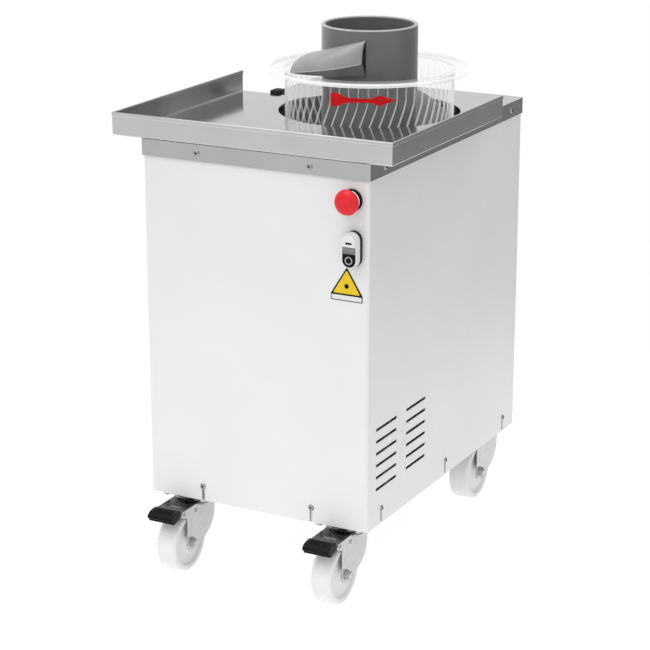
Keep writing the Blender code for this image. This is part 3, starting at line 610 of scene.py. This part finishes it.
def make_arrow():
    """A soft-edged arrow on the bowl: a flared tail, a thin shaft and a swelling head."""
    inner, outer = BOWL_R + 0.0003, BOWL_R + 0.0008
    centre = WORKTOP_Z + 0.045
    shape = [(-89.0, 0.0086), (-88.0, 0.0108), (-86.0, 0.0112), (-83.5, 0.0100), (-81.0, 0.0070),
             (-78.5, 0.0048), (-75.0, 0.0038), (-70.0, 0.0034), (-65.0, 0.0034), (-61.6, 0.0038),
             (-59.6, 0.0062), (-57.6, 0.0080), (-55.8, 0.0076), (-53.4, 0.0056), (-50.6, 0.0032),
             (-48.4, 0.0014), (-47.2, 0.0004)]
    stations = []
    for degrees, half in shape:
        section = [(inner, centre - half), (outer, centre - half), (outer, centre + half),
                   (inner, centre + half)]
        stations.append(swung(section, math.radians(degrees)))
    piece("turning_arrow", rings(stations), "red_film", "turning_bowl", at=BOWL_AT,
          replaces=("rotation_arrow",), sharp=40)


# ---- Tube, ramp and hood
def make_tube():
    """The feed tube and its rim, and the hub, arms and legs that carry it on the centre post."""
    outer, inner = TUBE_R, TUBE_R - 0.0062
    top, foot = TUBE_HIGH.z, TUBE_FOOT
    lip = 0.0022
    profile = [(inner, foot + 0.002), (inner + 0.002, foot), (outer - 0.002, foot), (outer, foot + 0.002),
               (outer, top - lip), (inner, top - lip)]
    tube = turned(profile, 160)
    rim = arc(outer - lip, top - lip, lip, 0, 90, 6) + arc(inner + lip, top - lip, lip, 90, 180, 6)
    # painted highlight: the tube's rim in a paler grey
    piece("tube_rim", turned(rim, 160), "edge_highlight_grey", "dough_guide", at=BOWL_AT)
    hub_top = TUBE_LOW.z + 0.028
    hub = turned([(0, hub_top), (0.010, hub_top - 0.0008), (0.018, hub_top - 0.004),
                  (0.023, hub_top - 0.010), (0.024, hub_top - 0.016), (0.024, TUBE_LOW.z + 0.001),
                  (0.023, TUBE_LOW.z), (0.0123, TUBE_LOW.z), (0.0123, TUBE_LOW.z + 0.0163),
                  (0, TUBE_LOW.z + 0.0163)], 48)
    arms = [prism(rounded_box(min(s * 0.018, s * 0.0795), max(s * 0.018, s * 0.0795), -0.008, 0.008,
                              0.002), 0.630, 0.640) for s in (-1, 1)]
    legs = [prism(rounded_box(min(s * 0.0742, s * 0.0795), max(s * 0.0742, s * 0.0795), -0.008, 0.008,
                              0.0015), 0.631, foot + 0.004) for s in (-1, 1)]
    piece("grey_tube", joined(tube, hub, *arms, *legs), "grey_moulding", "dough_guide",
          at=BOWL_AT, replaces=("feed_tube",))


def make_ramp():
    """A flat blade that climbs round the tube."""
    thick = 0.004
    low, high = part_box("spiral_guide")[0].z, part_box("spiral_guide")[1].z - thick
    start, sweep, steps = -60.0, 210.0, 90
    touch, reach = 0.0805, 0.1360
    stations = []
    for i in range(steps + 1):
        z = low + (high - low) * i / steps
        section = filleted([(touch, z), (reach, z), (reach, z + thick), (touch, z + thick)], 0.0015, 3)
        stations.append(swung(section, math.radians(start + sweep * i / steps)))
    piece("ramp", rings(stations), "grey_moulding", "dough_guide", at=BOWL_AT,
          replaces=("spiral_guide",))


def crease_radius(t):
    """How far out the hood's crease runs, from t = 0 at its tip to 1 at its open end."""
    return 0.136 - 0.044 * t ** 1.2


def hood_section(t):
    """The sections at t of the hood's shell, of the fold below its crease and of the crease's bead.
    The shell leaves the tube level and curves down to the crease; the fold goes back in below it."""
    touch, thick, curve = HOOD_TOUCH, 0.0028, 20
    top = WORKTOP_Z + 0.1045 + 0.027 * t
    crease_r = crease_radius(t)
    crease_z = WORKTOP_Z + 0.070 + 0.030 * t - 0.0055 * t * t
    foot_r = crease_r - 0.001 - 0.0075 * t
    foot_z = WORKTOP_Z + 0.0692 + 0.0125 * t - 0.0089 * t * t
    leans = [math.radians(90 * k / curve) for k in range(curve + 1)]
    shell = [(touch + (crease_r - touch) * math.sin(a), crease_z + (top - crease_z) * math.cos(a))
             for a in leans]
    shell += [(touch + (crease_r - thick - touch) * math.sin(a),
               crease_z + (top - thick - crease_z) * math.cos(a)) for a in leans[::-1]]
    fold = [(crease_r - 0.0001, crease_z - 0.0001), (foot_r + 0.0002, foot_z + 0.0008),
            (foot_r - 0.0006, foot_z), (foot_r - thick, foot_z), (crease_r - thick, crease_z - 0.0001)]
    bead = arc(crease_r - 0.0002, crease_z, 0.0009, -100, 100, 6)
    return {"hood": shell, "hood_fold": fold, "hood_crease": bead}


def hood_loop(t, points):
    """The points of a section in place at t; towards the open end, the further out the further back."""
    loop = []
    for r, z in points:
        slant = 4.5 * t ** 4 * (r - HOOD_TOUCH) / (crease_radius(t) - HOOD_TOUCH)
        angle = math.radians(HOOD_START + (HOOD_END - HOOD_START) * t - slant)
        loop.append((r * math.cos(angle), r * math.sin(angle), z))
    return loop


def make_hood():
    """The hood's shell, fold and crease, and a near-black strip on the tube beside its free edge: painted
    shadow.
    """
    # One moulding in three greys: the shell paler for the light on its top (painted light), the fold in the
    # tube's darker grey for the shade under the crease (painted shade), the crease bead paler (painted
    # highlight).
    paints = {"hood": "lit_grey_moulding", "hood_fold": "grey_moulding", "hood_crease": "edge_highlight_grey"}
    along = [i / HOOD_STEPS for i in range(HOOD_STEPS + 1)]
    for name, paint in paints.items():
        stations = [hood_loop(t, hood_section(t)[name]) for t in along]
        piece(name, rings(stations), paint, "dough_guide", at=BOWL_AT,
              replaces=("guide_hood",) if name == "hood" else (), sharp=17)
    # painted shadow: a near-black strip on the tube, where the hood's free edge throws its shade
    inside, outside = HOOD_TOUCH - 0.0008, HOOD_TOUCH + 0.0004
    top, foot = WORKTOP_Z + 0.1295, WORKTOP_Z + 0.0725
    section = [(inside, foot), (outside, foot), (outside, top), (inside, top)]
    edge_shadow = [swung(section, math.radians(degrees))
             for degrees in (-76.0, -74.5, -73.0, -71.5, -70.0, -68.8, -67.8)]
    piece("hood_edge_shadow", rings(edge_shadow), "painted_shade_dark", "dough_guide", at=BOWL_AT)


# ---- Controls
def make_estop():
    """Gasket, knurled ring and mushroom head, round the CAD's stem."""
    at = Vector(JOINTS["estop_twist"]["pos_m"])
    dress("estop_block", "black_plastic")
    dress("estop_stem", "black_plastic")
    rear = turned([(0.0068, 0.0004), (0.0172, 0.0004), (0.0174, 0.0008), (0.0174, 0.0034),
                   (0.0168, 0.0042), (0.0068, 0.0042)], 64)
    piece("estop_gasket", facing_front(rear), "black_plastic", "machine", at=at)
    knurls = 40
    profile = [(0.0150, 0.0043), (0.0156, 0.0048), (0.0156, 0.0072), (0.0146, 0.0082),
               (0.0142, 0.0104), (0.0136, 0.0108), (0.0068, 0.0108), (0.0068, 0.0043)]
    loops = []
    for k in range(knurls * 4):
        tooth = 0.0003 if k % 4 < 2 else 0.0
        section = [(r - tooth if r > 0.0150 else r, z) for r, z in profile]
        loops.append(swung(section, math.tau * k / (knurls * 4)))
    piece("estop_ring", facing_front(rings(loops, closed=True)), "chrome", "machine", at=at,
          replaces=("estop_collar",))
    head = [(0, 0.0234), (0.0048, 0.0234), (0.0048, 0.0203), (0.0120, 0.0203), (0.0120, 0.0172),
            (0.0126, 0.0166), (0.0184, 0.0166), (0.0194, 0.0172), (0.0200, 0.0184), (0.0200, 0.0206),
            (0.0197, 0.0220), (0.0190, 0.0234), (0.0178, 0.0252), (0.0160, 0.0268), (0.0138, 0.0281),
            (0.0110, 0.0290), (0.0080, 0.0296), (0.0040, 0.0299), (0, 0.0300)]
    piece("estop_mushroom", facing_front(turned(head, 96)), "red_plastic", "emergency_stop_head",
          at=at, replaces=("estop_head",))


def stadium(width, height, steps=16):
    radius = width / 2
    middle = height / 2 - radius
    return arc(0, middle, radius, 0, 180, steps) + arc(0, -middle, radius, 180, 360, steps)


def crowned(outline, back, face, round_by):
    """A flat cap whose front edge is rounded: the outline, pulled in along a quarter circle."""
    centre = Vector((sum(p[0] for p in outline) / len(outline), sum(p[1] for p in outline) / len(outline)))
    half = max((Vector(p) - centre).length for p in outline)
    loops = [[(x, y, back) for x, y in outline]]
    for degrees in (0, 25, 50, 70, 90):
        a = math.radians(degrees)
        scale = 1 - round_by * (1 - math.cos(a)) / half
        loops.append([(centre.x + (x - centre.x) * scale, centre.y + (y - centre.y) * scale,
                       face - round_by + round_by * math.sin(a)) for x, y in outline])
    return rings(loops)


def make_switch():
    """Gasket, frame, two caps, each with its plain mark, and the lamp's lens between them."""
    low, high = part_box("switch_bezel")
    at = Vector(((low.x + high.x) / 2, FRONT_Y, (low.z + high.z) / 2))
    width, height, proud = high.x - low.x, high.z - low.z, FRONT_Y - low.y
    wall, seam = 0.0022, 0.0080

    def frame_ring(outer, pocket, back, face, soft):
        loops = [[(x, y, back) for x, y in pocket], [(x, y, back) for x, y in outer],
                 [(x, y, face - soft) for x, y in outer]]
        for shrink, up in ((0.3, 0.7), (1.0, 1.0)):
            loops.append([(x * (1 - shrink * soft * 2 / width), y * (1 - shrink * soft * 2 / height),
                           face - soft + up * soft) for x, y in outer])
        loops.append([(x, y, face) for x, y in pocket])
        return rings(loops, closed=True)

    pocket = stadium(width - 2 * wall, height - 2 * wall)
    gasket = prism(stadium(width, height), GAP, seam - 0.0001)
    piece("switch_gasket", facing_front(gasket), "rubber", "machine", at=at, edge=0.0006)
    body = frame_ring(stadium(width - 0.0008, height - 0.0008), pocket, seam, proud, 0.0014)
    piece("switch_frame", facing_front(body), "light_plastic", "machine", at=at,
          replaces=("switch_bezel",))

    radius = width / 2 - wall - GAP
    middle = height / 2 - width / 2
    split = 0.0058
    start = [(-radius, split), (radius, split)] + arc(0, middle, radius, 0, 180, 24)
    cap = crowned(start, 0.0063, proud + 0.0015, 0.0010)
    piece("start_cap", facing_front(cap), "light_plastic", "start_key", at=at,
          replaces=("start_button",))
    bar = prism(rounded_box(-0.0054, 0.0054, 0.0104, 0.0134, 0.0008), proud + 0.0013, proud + 0.0017)
    piece("start_bar", facing_front(bar), "black_plastic", "start_key", at=at)
    stop = [(radius, -split), (-radius, -split)] + arc(0, -middle, radius, 180, 360, 24)
    cap = crowned(stop, 0.0063, proud + 0.0011, 0.0010)
    piece("stop_cap", facing_front(cap), "black_plastic", "stop_key", at=at,
          replaces=("stop_button",))
    ring = turned([(0.0044, 0.0008), (0.0046, 0.0014), (0.0056, 0.0017), (0.0064, 0.0014),
                   (0.0066, 0.0008)], 48)
    piece("stop_ring", facing_front(shift(ring, 0, -middle - 0.0005, proud)), "ring_grey", "stop_key",
          at=at)
    lamp = crowned(rounded_box(-radius, radius, -0.0053, 0.0053, 0.0006), 0.0034, proud + 0.0002, 0.0008)
    piece("lamp_lens", facing_front(lamp), "lamp_window", "machine", at=at,
          replaces=("switch_lamp",))
    dress("switch_block", "black_plastic", 0.0008)


def make_hazard_plate():
    """A generic caution triangle over a blank strip: a yellow field in a dark border, with one dot."""
    low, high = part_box("hazard_plate")
    at = Vector(((low.x + high.x) / 2, FRONT_Y, 0))
    half = (high.x - low.x) / 2
    tip, base = high.z, low.z

    strip_top = base + 0.0095
    centre_z = strip_top + (tip - strip_top) / 3

    def triangle(scale):
        points = [(-half * scale, centre_z + (strip_top - centre_z) * scale),
                  (half * scale, centre_z + (strip_top - centre_z) * scale),
                  (0, centre_z + (tip - centre_z) * scale)]
        return filleted(points, 0.0022 * scale, 6)

    edge = [(-half, base), (half, base), (half, strip_top + 0.001), (0, tip), (-half, strip_top + 0.001)]
    piece("hazard_border", facing_front(prism(filleted(edge, 0.0012, 4), GAP, 0.0006)), "black_plastic",
          "machine", at=at, replaces=("hazard_plate",))
    piece("hazard_field", facing_front(prism(triangle(0.86), 0.0006, 0.0009)), "yellow_film",
          "machine", at=at)
    strip = rounded_box(-half + 0.0014, half - 0.0014, base + 0.0013, strip_top - 0.0008, 0.0008)
    piece("hazard_strip", facing_front(prism(strip, 0.0006, 0.0009)), "light_plastic", "machine",
          at=at)
    dot = shift(turned([(0, 0.0009), (0.0038, 0.0009), (0.0038, 0.0011), (0, 0.0011)], 40), 0,
                centre_z - 0.0005, 0)
    piece("hazard_dot", facing_front(dot), "black_plastic", "machine", at=at)


# ---- Screws
def screw_mesh(radius=0.0052, height=0.0026):
    """Pan head with a cross recess."""
    dome = [(radius * math.cos(math.radians(d)), height * math.sin(math.radians(d)))
            for d in (0, 12, 25, 40, 55, 70)]
    profile = [(0, 0), (radius, 0)] + dome[1:]
    rim_r, rim_z = profile[-1]
    profile += [(rim_r * 0.98, rim_z), (0, rim_z)]
    return turned(profile, 24)


def cross_mesh(radius=0.0024, height=0.0027):
    arm = radius * 0.22
    outline = [(arm, arm), (arm, radius), (-arm, radius), (-arm, arm), (-radius, arm), (-radius, -arm),
               (-arm, -arm), (-arm, -radius), (arm, -radius), (arm, -arm), (radius, -arm), (radius, arm)]
    return prism(outline, height - 0.0003, height)


def put_screw(name, at, facing, replaces=()):
    """A screw head whose axis points out of the front, the back, the left or the right."""
    about_x, about_y = {"front": (90, 0), "back": (-90, 0), "right": (0, 90), "left": (0, -90)}[facing]
    for part, mesh, paint in (("head", screw_mesh(), "machined_steel"),
                              ("recess", cross_mesh(), "black_plastic")):
        turn(turn(turn(mesh, "Z", 20), "X", about_x), "Y", about_y)
        piece(f"{name}_{part}", mesh, paint, "machine", at=at,
              replaces=replaces if part == "head" else ())


def make_screws():
    """The front's screws from the frame; the sides' and the back's beside them at the same heights."""
    skirt_z = sum(corner.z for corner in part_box("skirt_screw_left")) / 2
    base_z = sum(corner.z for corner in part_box("base_screw_left")) / 2
    for side in ("left", "right"):
        for kind, y in (("skirt", PLATE_LOW.y), ("base", HOUSING_LOW.y)):
            node = f"{kind}_screw_{side}"
            low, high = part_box(node)
            at = ((low.x + high.x) / 2, y - 0.0001, (low.z + high.z) / 2)
            put_screw(node, at, "front", replaces=(node,))
    for facing, face_x, skirt_x in (("left", HOUSING_LOW.x, PLATE_LOW.x),
                                    ("right", HOUSING_HIGH.x, PLATE_HIGH.x)):
        for k, y in enumerate(SCREW_ROWS):
            put_screw(f"base_{facing}_{k}", (face_x, FRONT_Y + y, base_z), facing)
            if k != 1:
                put_screw(f"skirt_{facing}_{k}", (skirt_x, FRONT_Y + y, skirt_z), facing)
    panel_y = HOUSING_HIGH.y + PANEL_PROUD
    for row, z in enumerate((0.150, 0.420, 0.680)):
        for column, x in enumerate((-0.188, 0.188)):
            put_screw(f"rear_{row}_{column}", (MIDDLE_X + x, panel_y, z), "back")
    for column, x in enumerate((-0.100, 0.100)):
        put_screw(f"skirt_back_{column}", (MIDDLE_X + x, PLATE_HIGH.y, skirt_z), "back")


# ---- Cable gland
def make_gland():
    """Base, hexagon and ribbed dome nut, with a tail inside the panel."""
    low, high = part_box("cable_gland")
    at = Vector(((low.x + high.x) / 2, HOUSING_HIGH.y + PANEL_PROUD, (low.z + high.z) / 2))
    bore = 0.0042
    nut = turned([(bore, 0.0250), (0.0062, 0.0250), (0.0074, 0.0244), (0.0092, 0.0222), (0.0104, 0.0180),
                  (0.0106, 0.0120), (bore, 0.0120)], 48)
    flats = hexagon(0.0200, 0.0060, 0.0118)
    base = turned([(bore, 0.0058), (0.0112, 0.0058), (0.0115, 0.0050), (0.0115, 0.0003), (bore, 0.0003)], 48)
    ribs = [turn(prism(rounded_box(0.0100, 0.0113, -0.0008, 0.0008, 0.0003), 0.0122, 0.0190), "Z", k * 30)
            for k in range(12)]
    tail = turned([(bore, -0.0003), (0.0082, -0.0003), (0.0082, -0.0138), (bore, -0.0138)], 32)
    mesh = turn(joined(nut, flats, base, tail, *ribs), "X", -90)
    piece("gland", mesh, "black_plastic", "machine", at=at, replaces=("cable_gland",))


# ---- Castors
def wheel_mesh():
    """Solid nylon wheel: wide tread with soft shoulders, a sunk web, a ringed hub."""
    side = [(0.0062, 0.0192), (0.0125, 0.0192), (0.0138, 0.0186), (0.0145, 0.0160), (0.0150, 0.0136),
            (0.0165, 0.0130), (0.0360, 0.0130), (0.0378, 0.0136), (0.0390, 0.0160), (0.0402, 0.0176),
            (0.0418, 0.0180), (0.0452, 0.0180), (0.0472, 0.0174), (0.0487, 0.0158), (0.0496, 0.0132),
            (0.0500, 0.0100)]
    profile = side + [(0.0500, 0.0)] + [(r, -x) for r, x in reversed(side)]
    return turn(turned(profile, 96), "Y", 90)


def axle_bolt():
    """Axle through the wheel, with a hexagon head, washers and a lock nut outside the fork."""
    fork = LEG_OUTER + GAP
    shaft = turned([(0, -fork), (0.0057, -fork), (0.0057, fork), (0, fork)], 32)
    washers = [turned([(0, z), (0.0088, z), (0.0088, z + 0.0012), (0, z + 0.0012)], 32)
               for z in (fork, -fork - 0.0012)]
    head = hexagon(0.0150, -fork - 0.0060, -fork - 0.0012)
    nut = hexagon(0.0150, fork + 0.0012, fork + 0.0062)
    collar = turned([(0, fork + 0.0060), (0.0062, fork + 0.0060), (0.0060, fork + 0.0074),
                     (0.0050, fork + 0.0080), (0, fork + 0.0080)], 32)
    return turn(joined(shaft, *washers, head, nut, collar), "Y", 90)


def fork_crown():
    """Pressed crown with a raised boss round the king pin."""
    return turned([(0.0076, 0.1070), (0.0300, 0.1070), (0.0322, 0.1074), (0.0330, 0.1086),
                   (0.0330, 0.1104), (0.0322, 0.1120), (0.0304, 0.1130), (0.0190, 0.1130),
                   (0.0176, 0.1136), (0.0168, 0.1150), (0.0160, 0.1155), (0.0076, 0.1155)], 72)


def fork_leg(inner_x, outer_x):
    """A broad pressed leg that narrows to the axle."""
    outline = [(-0.0335, 0.1118), (-0.0500, 0.1008), (-0.0515, 0.0985)]
    outline += arc(-0.038, 0.050, 0.0140, 180, 300, 12)
    outline += [(-0.0180, 0.0395), (-0.0040, 0.0440), (0.0070, 0.0484), (0.0170, 0.0540),
                (0.0258, 0.0618), (0.0315, 0.0710), (0.0350, 0.0830), (0.0364, 0.0960), (0.0350, 0.1118)]
    return side_view(prism(outline, inner_x, outer_x))


def make_castor(corner):
    """One castor: plate and race on the machine, fork and axle on the swivel, and its wheel."""
    swivel = Vector(JOINTS[f"{corner}_swivel_turn"]["pos_m"])
    at = Vector((swivel.x, swivel.y, 0))
    axle = Vector(JOINTS[f"{corner}_wheel_spin"]["pos_m"])
    low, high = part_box(f"{corner}_castor_plate")
    half_x, half_y = (high.x - low.x) / 2, (high.y - low.y) / 2
    plate = prism(rounded_box(-half_x, half_x, -half_y, half_y, 0.006), high.z - 0.0028, high.z)
    race = turned([(0, 0.1036), (0.0082, 0.1036), (0.0090, 0.1044), (0.0090, 0.1060), (0.0072, 0.1060),
                   (0.0072, 0.1164), (0.0150, 0.1164), (0.0166, 0.1190), (0.0270, 0.1204),
                   (0.0292, 0.1214), (0.0300, 0.1230), (0.0300, 0.1243), (0, 0.1243)], 64)
    piece(f"{corner}_top_plate", plate, "zinc", "machine", at=at,
          replaces=(f"{corner}_castor_plate",), edge=0.0005)
    piece(f"{corner}_race", race, "zinc", "machine", at=at)
    for k, (sx, sy) in enumerate(((-1, -1), (1, -1), (1, 1), (-1, 1))):
        bolt = turn(hexagon(0.0100, 0.1205, 0.1240), "Z", 15)
        piece(f"{corner}_plate_bolt_{k}", bolt, "zinc", "machine",
              at=at + Vector((sx * (half_x - 0.007), sy * (half_y - 0.006), 0)), edge=0.0004)
    piece(f"{corner}_crown", fork_crown(), "zinc", f"{corner}_swivel", at=at,
          replaces=(f"{corner}_fork",))
    for side, sign in (("left", -1), ("right", 1)):
        leg = fork_leg(*sorted((sign * LEG_INNER, sign * LEG_OUTER)))
        piece(f"{corner}_{side}_leg", leg, "zinc", f"{corner}_swivel", at=at, edge=0.0009)
    piece(f"{corner}_axle_bolt", axle_bolt(), "zinc", f"{corner}_swivel", at=axle,
          replaces=(f"{corner}_axle",), sharp=28)
    piece(f"{corner}_nylon_wheel", wheel_mesh(), "nylon", f"{corner}_roller", at=axle,
          replaces=(f"{corner}_wheel",))
    if corner.startswith("front"):
        make_brake(corner, at)


def lever_plate(half, tongue, low, high):
    """The lever's top, pierced by two slots, and narrower where the pedal sleeves it."""
    slot, back, front = 0.014, -0.0180, -0.0940
    waist, neck = -0.0725, -0.0760
    rows = [(back, half)]
    rows += [(y, half) for pair in LEVER_SLOTS for y in sorted(pair, reverse=True)]
    rows += [(waist, half), (neck, tongue), (front, tongue)]
    bm = bmesh.new()
    for (y0, wide0), (y1, wide1) in zip(rows, rows[1:]):
        columns = zip((-wide0, -slot, slot), (-slot, slot, wide0),
                      (-wide1, -slot, slot), (-slot, slot, wide1))
        for x0, x1, x2, x3 in columns:
            if (y1, y0) in LEVER_SLOTS and x0 == -slot:
                continue
            corners = ((x0, y0, low), (x1, y0, low), (x3, y1, low), (x2, y1, low))
            bm.faces.new([bm.verts.new(corner) for corner in corners])
    bmesh.ops.remove_doubles(bm, verts=bm.verts, dist=1e-6)
    return raised(bm, list(bm.faces), high - low)


def make_brake(corner, at):
    """Slotted lever with turned-down sides and rivets, and a black wedge pedal with a lip over a notch."""
    body = f"{corner}_brake"
    low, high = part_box(f"{corner}_brake_lever")
    half = (high.x - low.x) / 2
    low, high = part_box(f"{corner}_brake_pedal")
    width = (high.x - low.x) / 2
    plate = lever_plate(half, width - 0.0023, *LEVER_Z)
    piece(f"{corner}_lever_plate", plate, "dark_zinc", body, at=at, edge=0.0005,
          replaces=(f"{corner}_brake_lever",))
    # painted highlight: a pale strip just under the front slot, so that the slot shows as a bright line
    slot_strip = prism(rounded_box(-0.0165, 0.0165, -0.0605, -0.0505, 0.002), 0.1118, 0.1132)
    piece(f"{corner}_slot_light_strip", slot_strip, "nylon", body, at=at, edge=0.0003)
    outline = filleted([(-0.0255, 0.0980), (-0.0255, 0.1158), (-0.0720, 0.1158), (-0.0720, 0.1040),
                        (-0.0560, 0.0980)], 0.003, 3)
    for side, sign in (("left", -1), ("right", 1)):
        x0, x1 = sorted((sign * (half - LEVER_SHEET), sign * half))
        piece(f"{corner}_lever_{side}", side_view(prism(outline, x0, x1)), "zinc", body,
              at=at, edge=0.0004)
        for k, (y, z) in enumerate(((-0.0295, 0.1040), (-0.0660, 0.1085))):
            rivet = turned([(0, 0), (0.0034, 0), (0.0032, 0.0009), (0.0020, 0.0016), (0, 0.0018)], 24)
            turn(rivet, "Y", 90 * sign)
            piece(f"{corner}_rivet_{k}_{side}", rivet, "machined_steel", body,
                  at=at + Vector((sign * half, y, z)))
    outline = [(-0.1035, 0.1085), (-0.1030, 0.1110), (-0.1020, 0.1130), (-0.0990, 0.1155),
               (-0.0940, 0.1178), (-0.0860, 0.1188), (-0.0790, 0.1192), (-0.0772, 0.1188),
               (-0.0765, 0.1176), (-0.0765, 0.1085), (-0.0830, 0.1040), (-0.0950, 0.1010),
               (-0.0985, 0.1020), (-0.0985, 0.1060), (-0.1020, 0.1072)]
    pad = side_view(prism(outline, -width, width))
    piece(f"{corner}_pedal", pad, "black_plastic", body, at=at, edge=0.0009,
          replaces=(f"{corner}_brake_pedal",))
    for k in range(3):
        y = -0.0840 - 0.0045 * k
        rib = turn(turned([(0, -0.017), (0.0008, -0.0165), (0.0008, 0.0165), (0, 0.017)], 12), "Y", 90)
        piece(f"{corner}_pedal_rib_{k}", rib, "black_plastic", body,
              at=at + Vector((0, y, 0.1190 - 0.0004 * k)))


# ---- Stage
def make_stage():
    """A round, pale floor."""
    mesh = turned([(0, -0.02), (STAGE_R, -0.02), (STAGE_R, 0), (0, 0)], 128)
    mesh.materials.append(PAINTS["floor_paint"])
    floor = bpy.data.objects.new("floor", mesh)
    bpy.context.scene.collection.objects.link(floor)


def make_light():
    """White to the eye; lit by an even surround, dimmer behind on the right, and a soft high sun."""
    world = bpy.data.worlds.new("studio")
    bpy.context.scene.world = world
    world.use_nodes = True
    tree = world.node_tree
    tree.nodes.clear()
    coords = tree.nodes.new("ShaderNodeTexCoord")
    dot = tree.nodes.new("ShaderNodeVectorMath")
    dot.operation = "DOT_PRODUCT"
    dot.inputs[1].default_value = Vector((0.60, 0.78, -0.10)).normalized()
    spread = tree.nodes.new("ShaderNodeMapRange")
    spread.interpolation_type = "SMOOTHSTEP"
    spread.inputs["From Min"].default_value = 0.55
    spread.inputs["From Max"].default_value = 0.97
    spread.inputs["To Min"].default_value = 1.08
    spread.inputs["To Max"].default_value = 0.34
    lit = tree.nodes.new("ShaderNodeBackground")
    seen = tree.nodes.new("ShaderNodeBackground")
    seen.inputs["Color"].default_value = (1, 1, 1, 1)
    seen.inputs["Strength"].default_value = 1.0
    path = tree.nodes.new("ShaderNodeLightPath")
    mix = tree.nodes.new("ShaderNodeMixShader")
    out = tree.nodes.new("ShaderNodeOutputWorld")
    tree.links.new(coords.outputs["Generated"], dot.inputs[0])
    tree.links.new(dot.outputs["Value"], spread.inputs["Value"])
    tree.links.new(spread.outputs["Result"], lit.inputs["Strength"])
    tree.links.new(path.outputs["Is Camera Ray"], mix.inputs["Fac"])
    tree.links.new(lit.outputs["Background"], mix.inputs[1])
    tree.links.new(seen.outputs["Background"], mix.inputs[2])
    tree.links.new(mix.outputs["Shader"], out.inputs["Surface"])

    light = bpy.data.lights.new("key", "SUN")
    light.angle = math.radians(50)
    light.energy = 1.1
    lamp = bpy.data.objects.new("key", light)
    lamp.rotation_euler = Vector((0.15, 0.35, -0.92)).to_track_quat("-Z", "Y").to_euler()
    bpy.context.scene.collection.objects.link(lamp)
    bpy.context.scene.view_settings.view_transform = "Standard"


def make_camera():
    """A long lens at the front right, looking down on the worktop."""
    camera = bpy.data.cameras.new("camera")
    camera.sensor_width = 36.0
    camera.lens = 119.1
    view = bpy.data.objects.new("camera", camera)
    view.location = machine(1.6045, -2.8108, 1.4382)
    view.rotation_euler = (math.radians(90 - 17.12), 0, math.radians(27.76))
    bpy.context.scene.collection.objects.link(view)
    bpy.context.scene.camera = view


make_camera()
make_stage()
make_light()
make_cabinet()
make_tray()
make_bowl()
make_arrow()
make_tube()
make_ramp()
make_hood()
make_estop()
make_switch()
make_hazard_plate()
make_screws()
make_gland()
for castor in CORNERS:
    make_castor(castor)
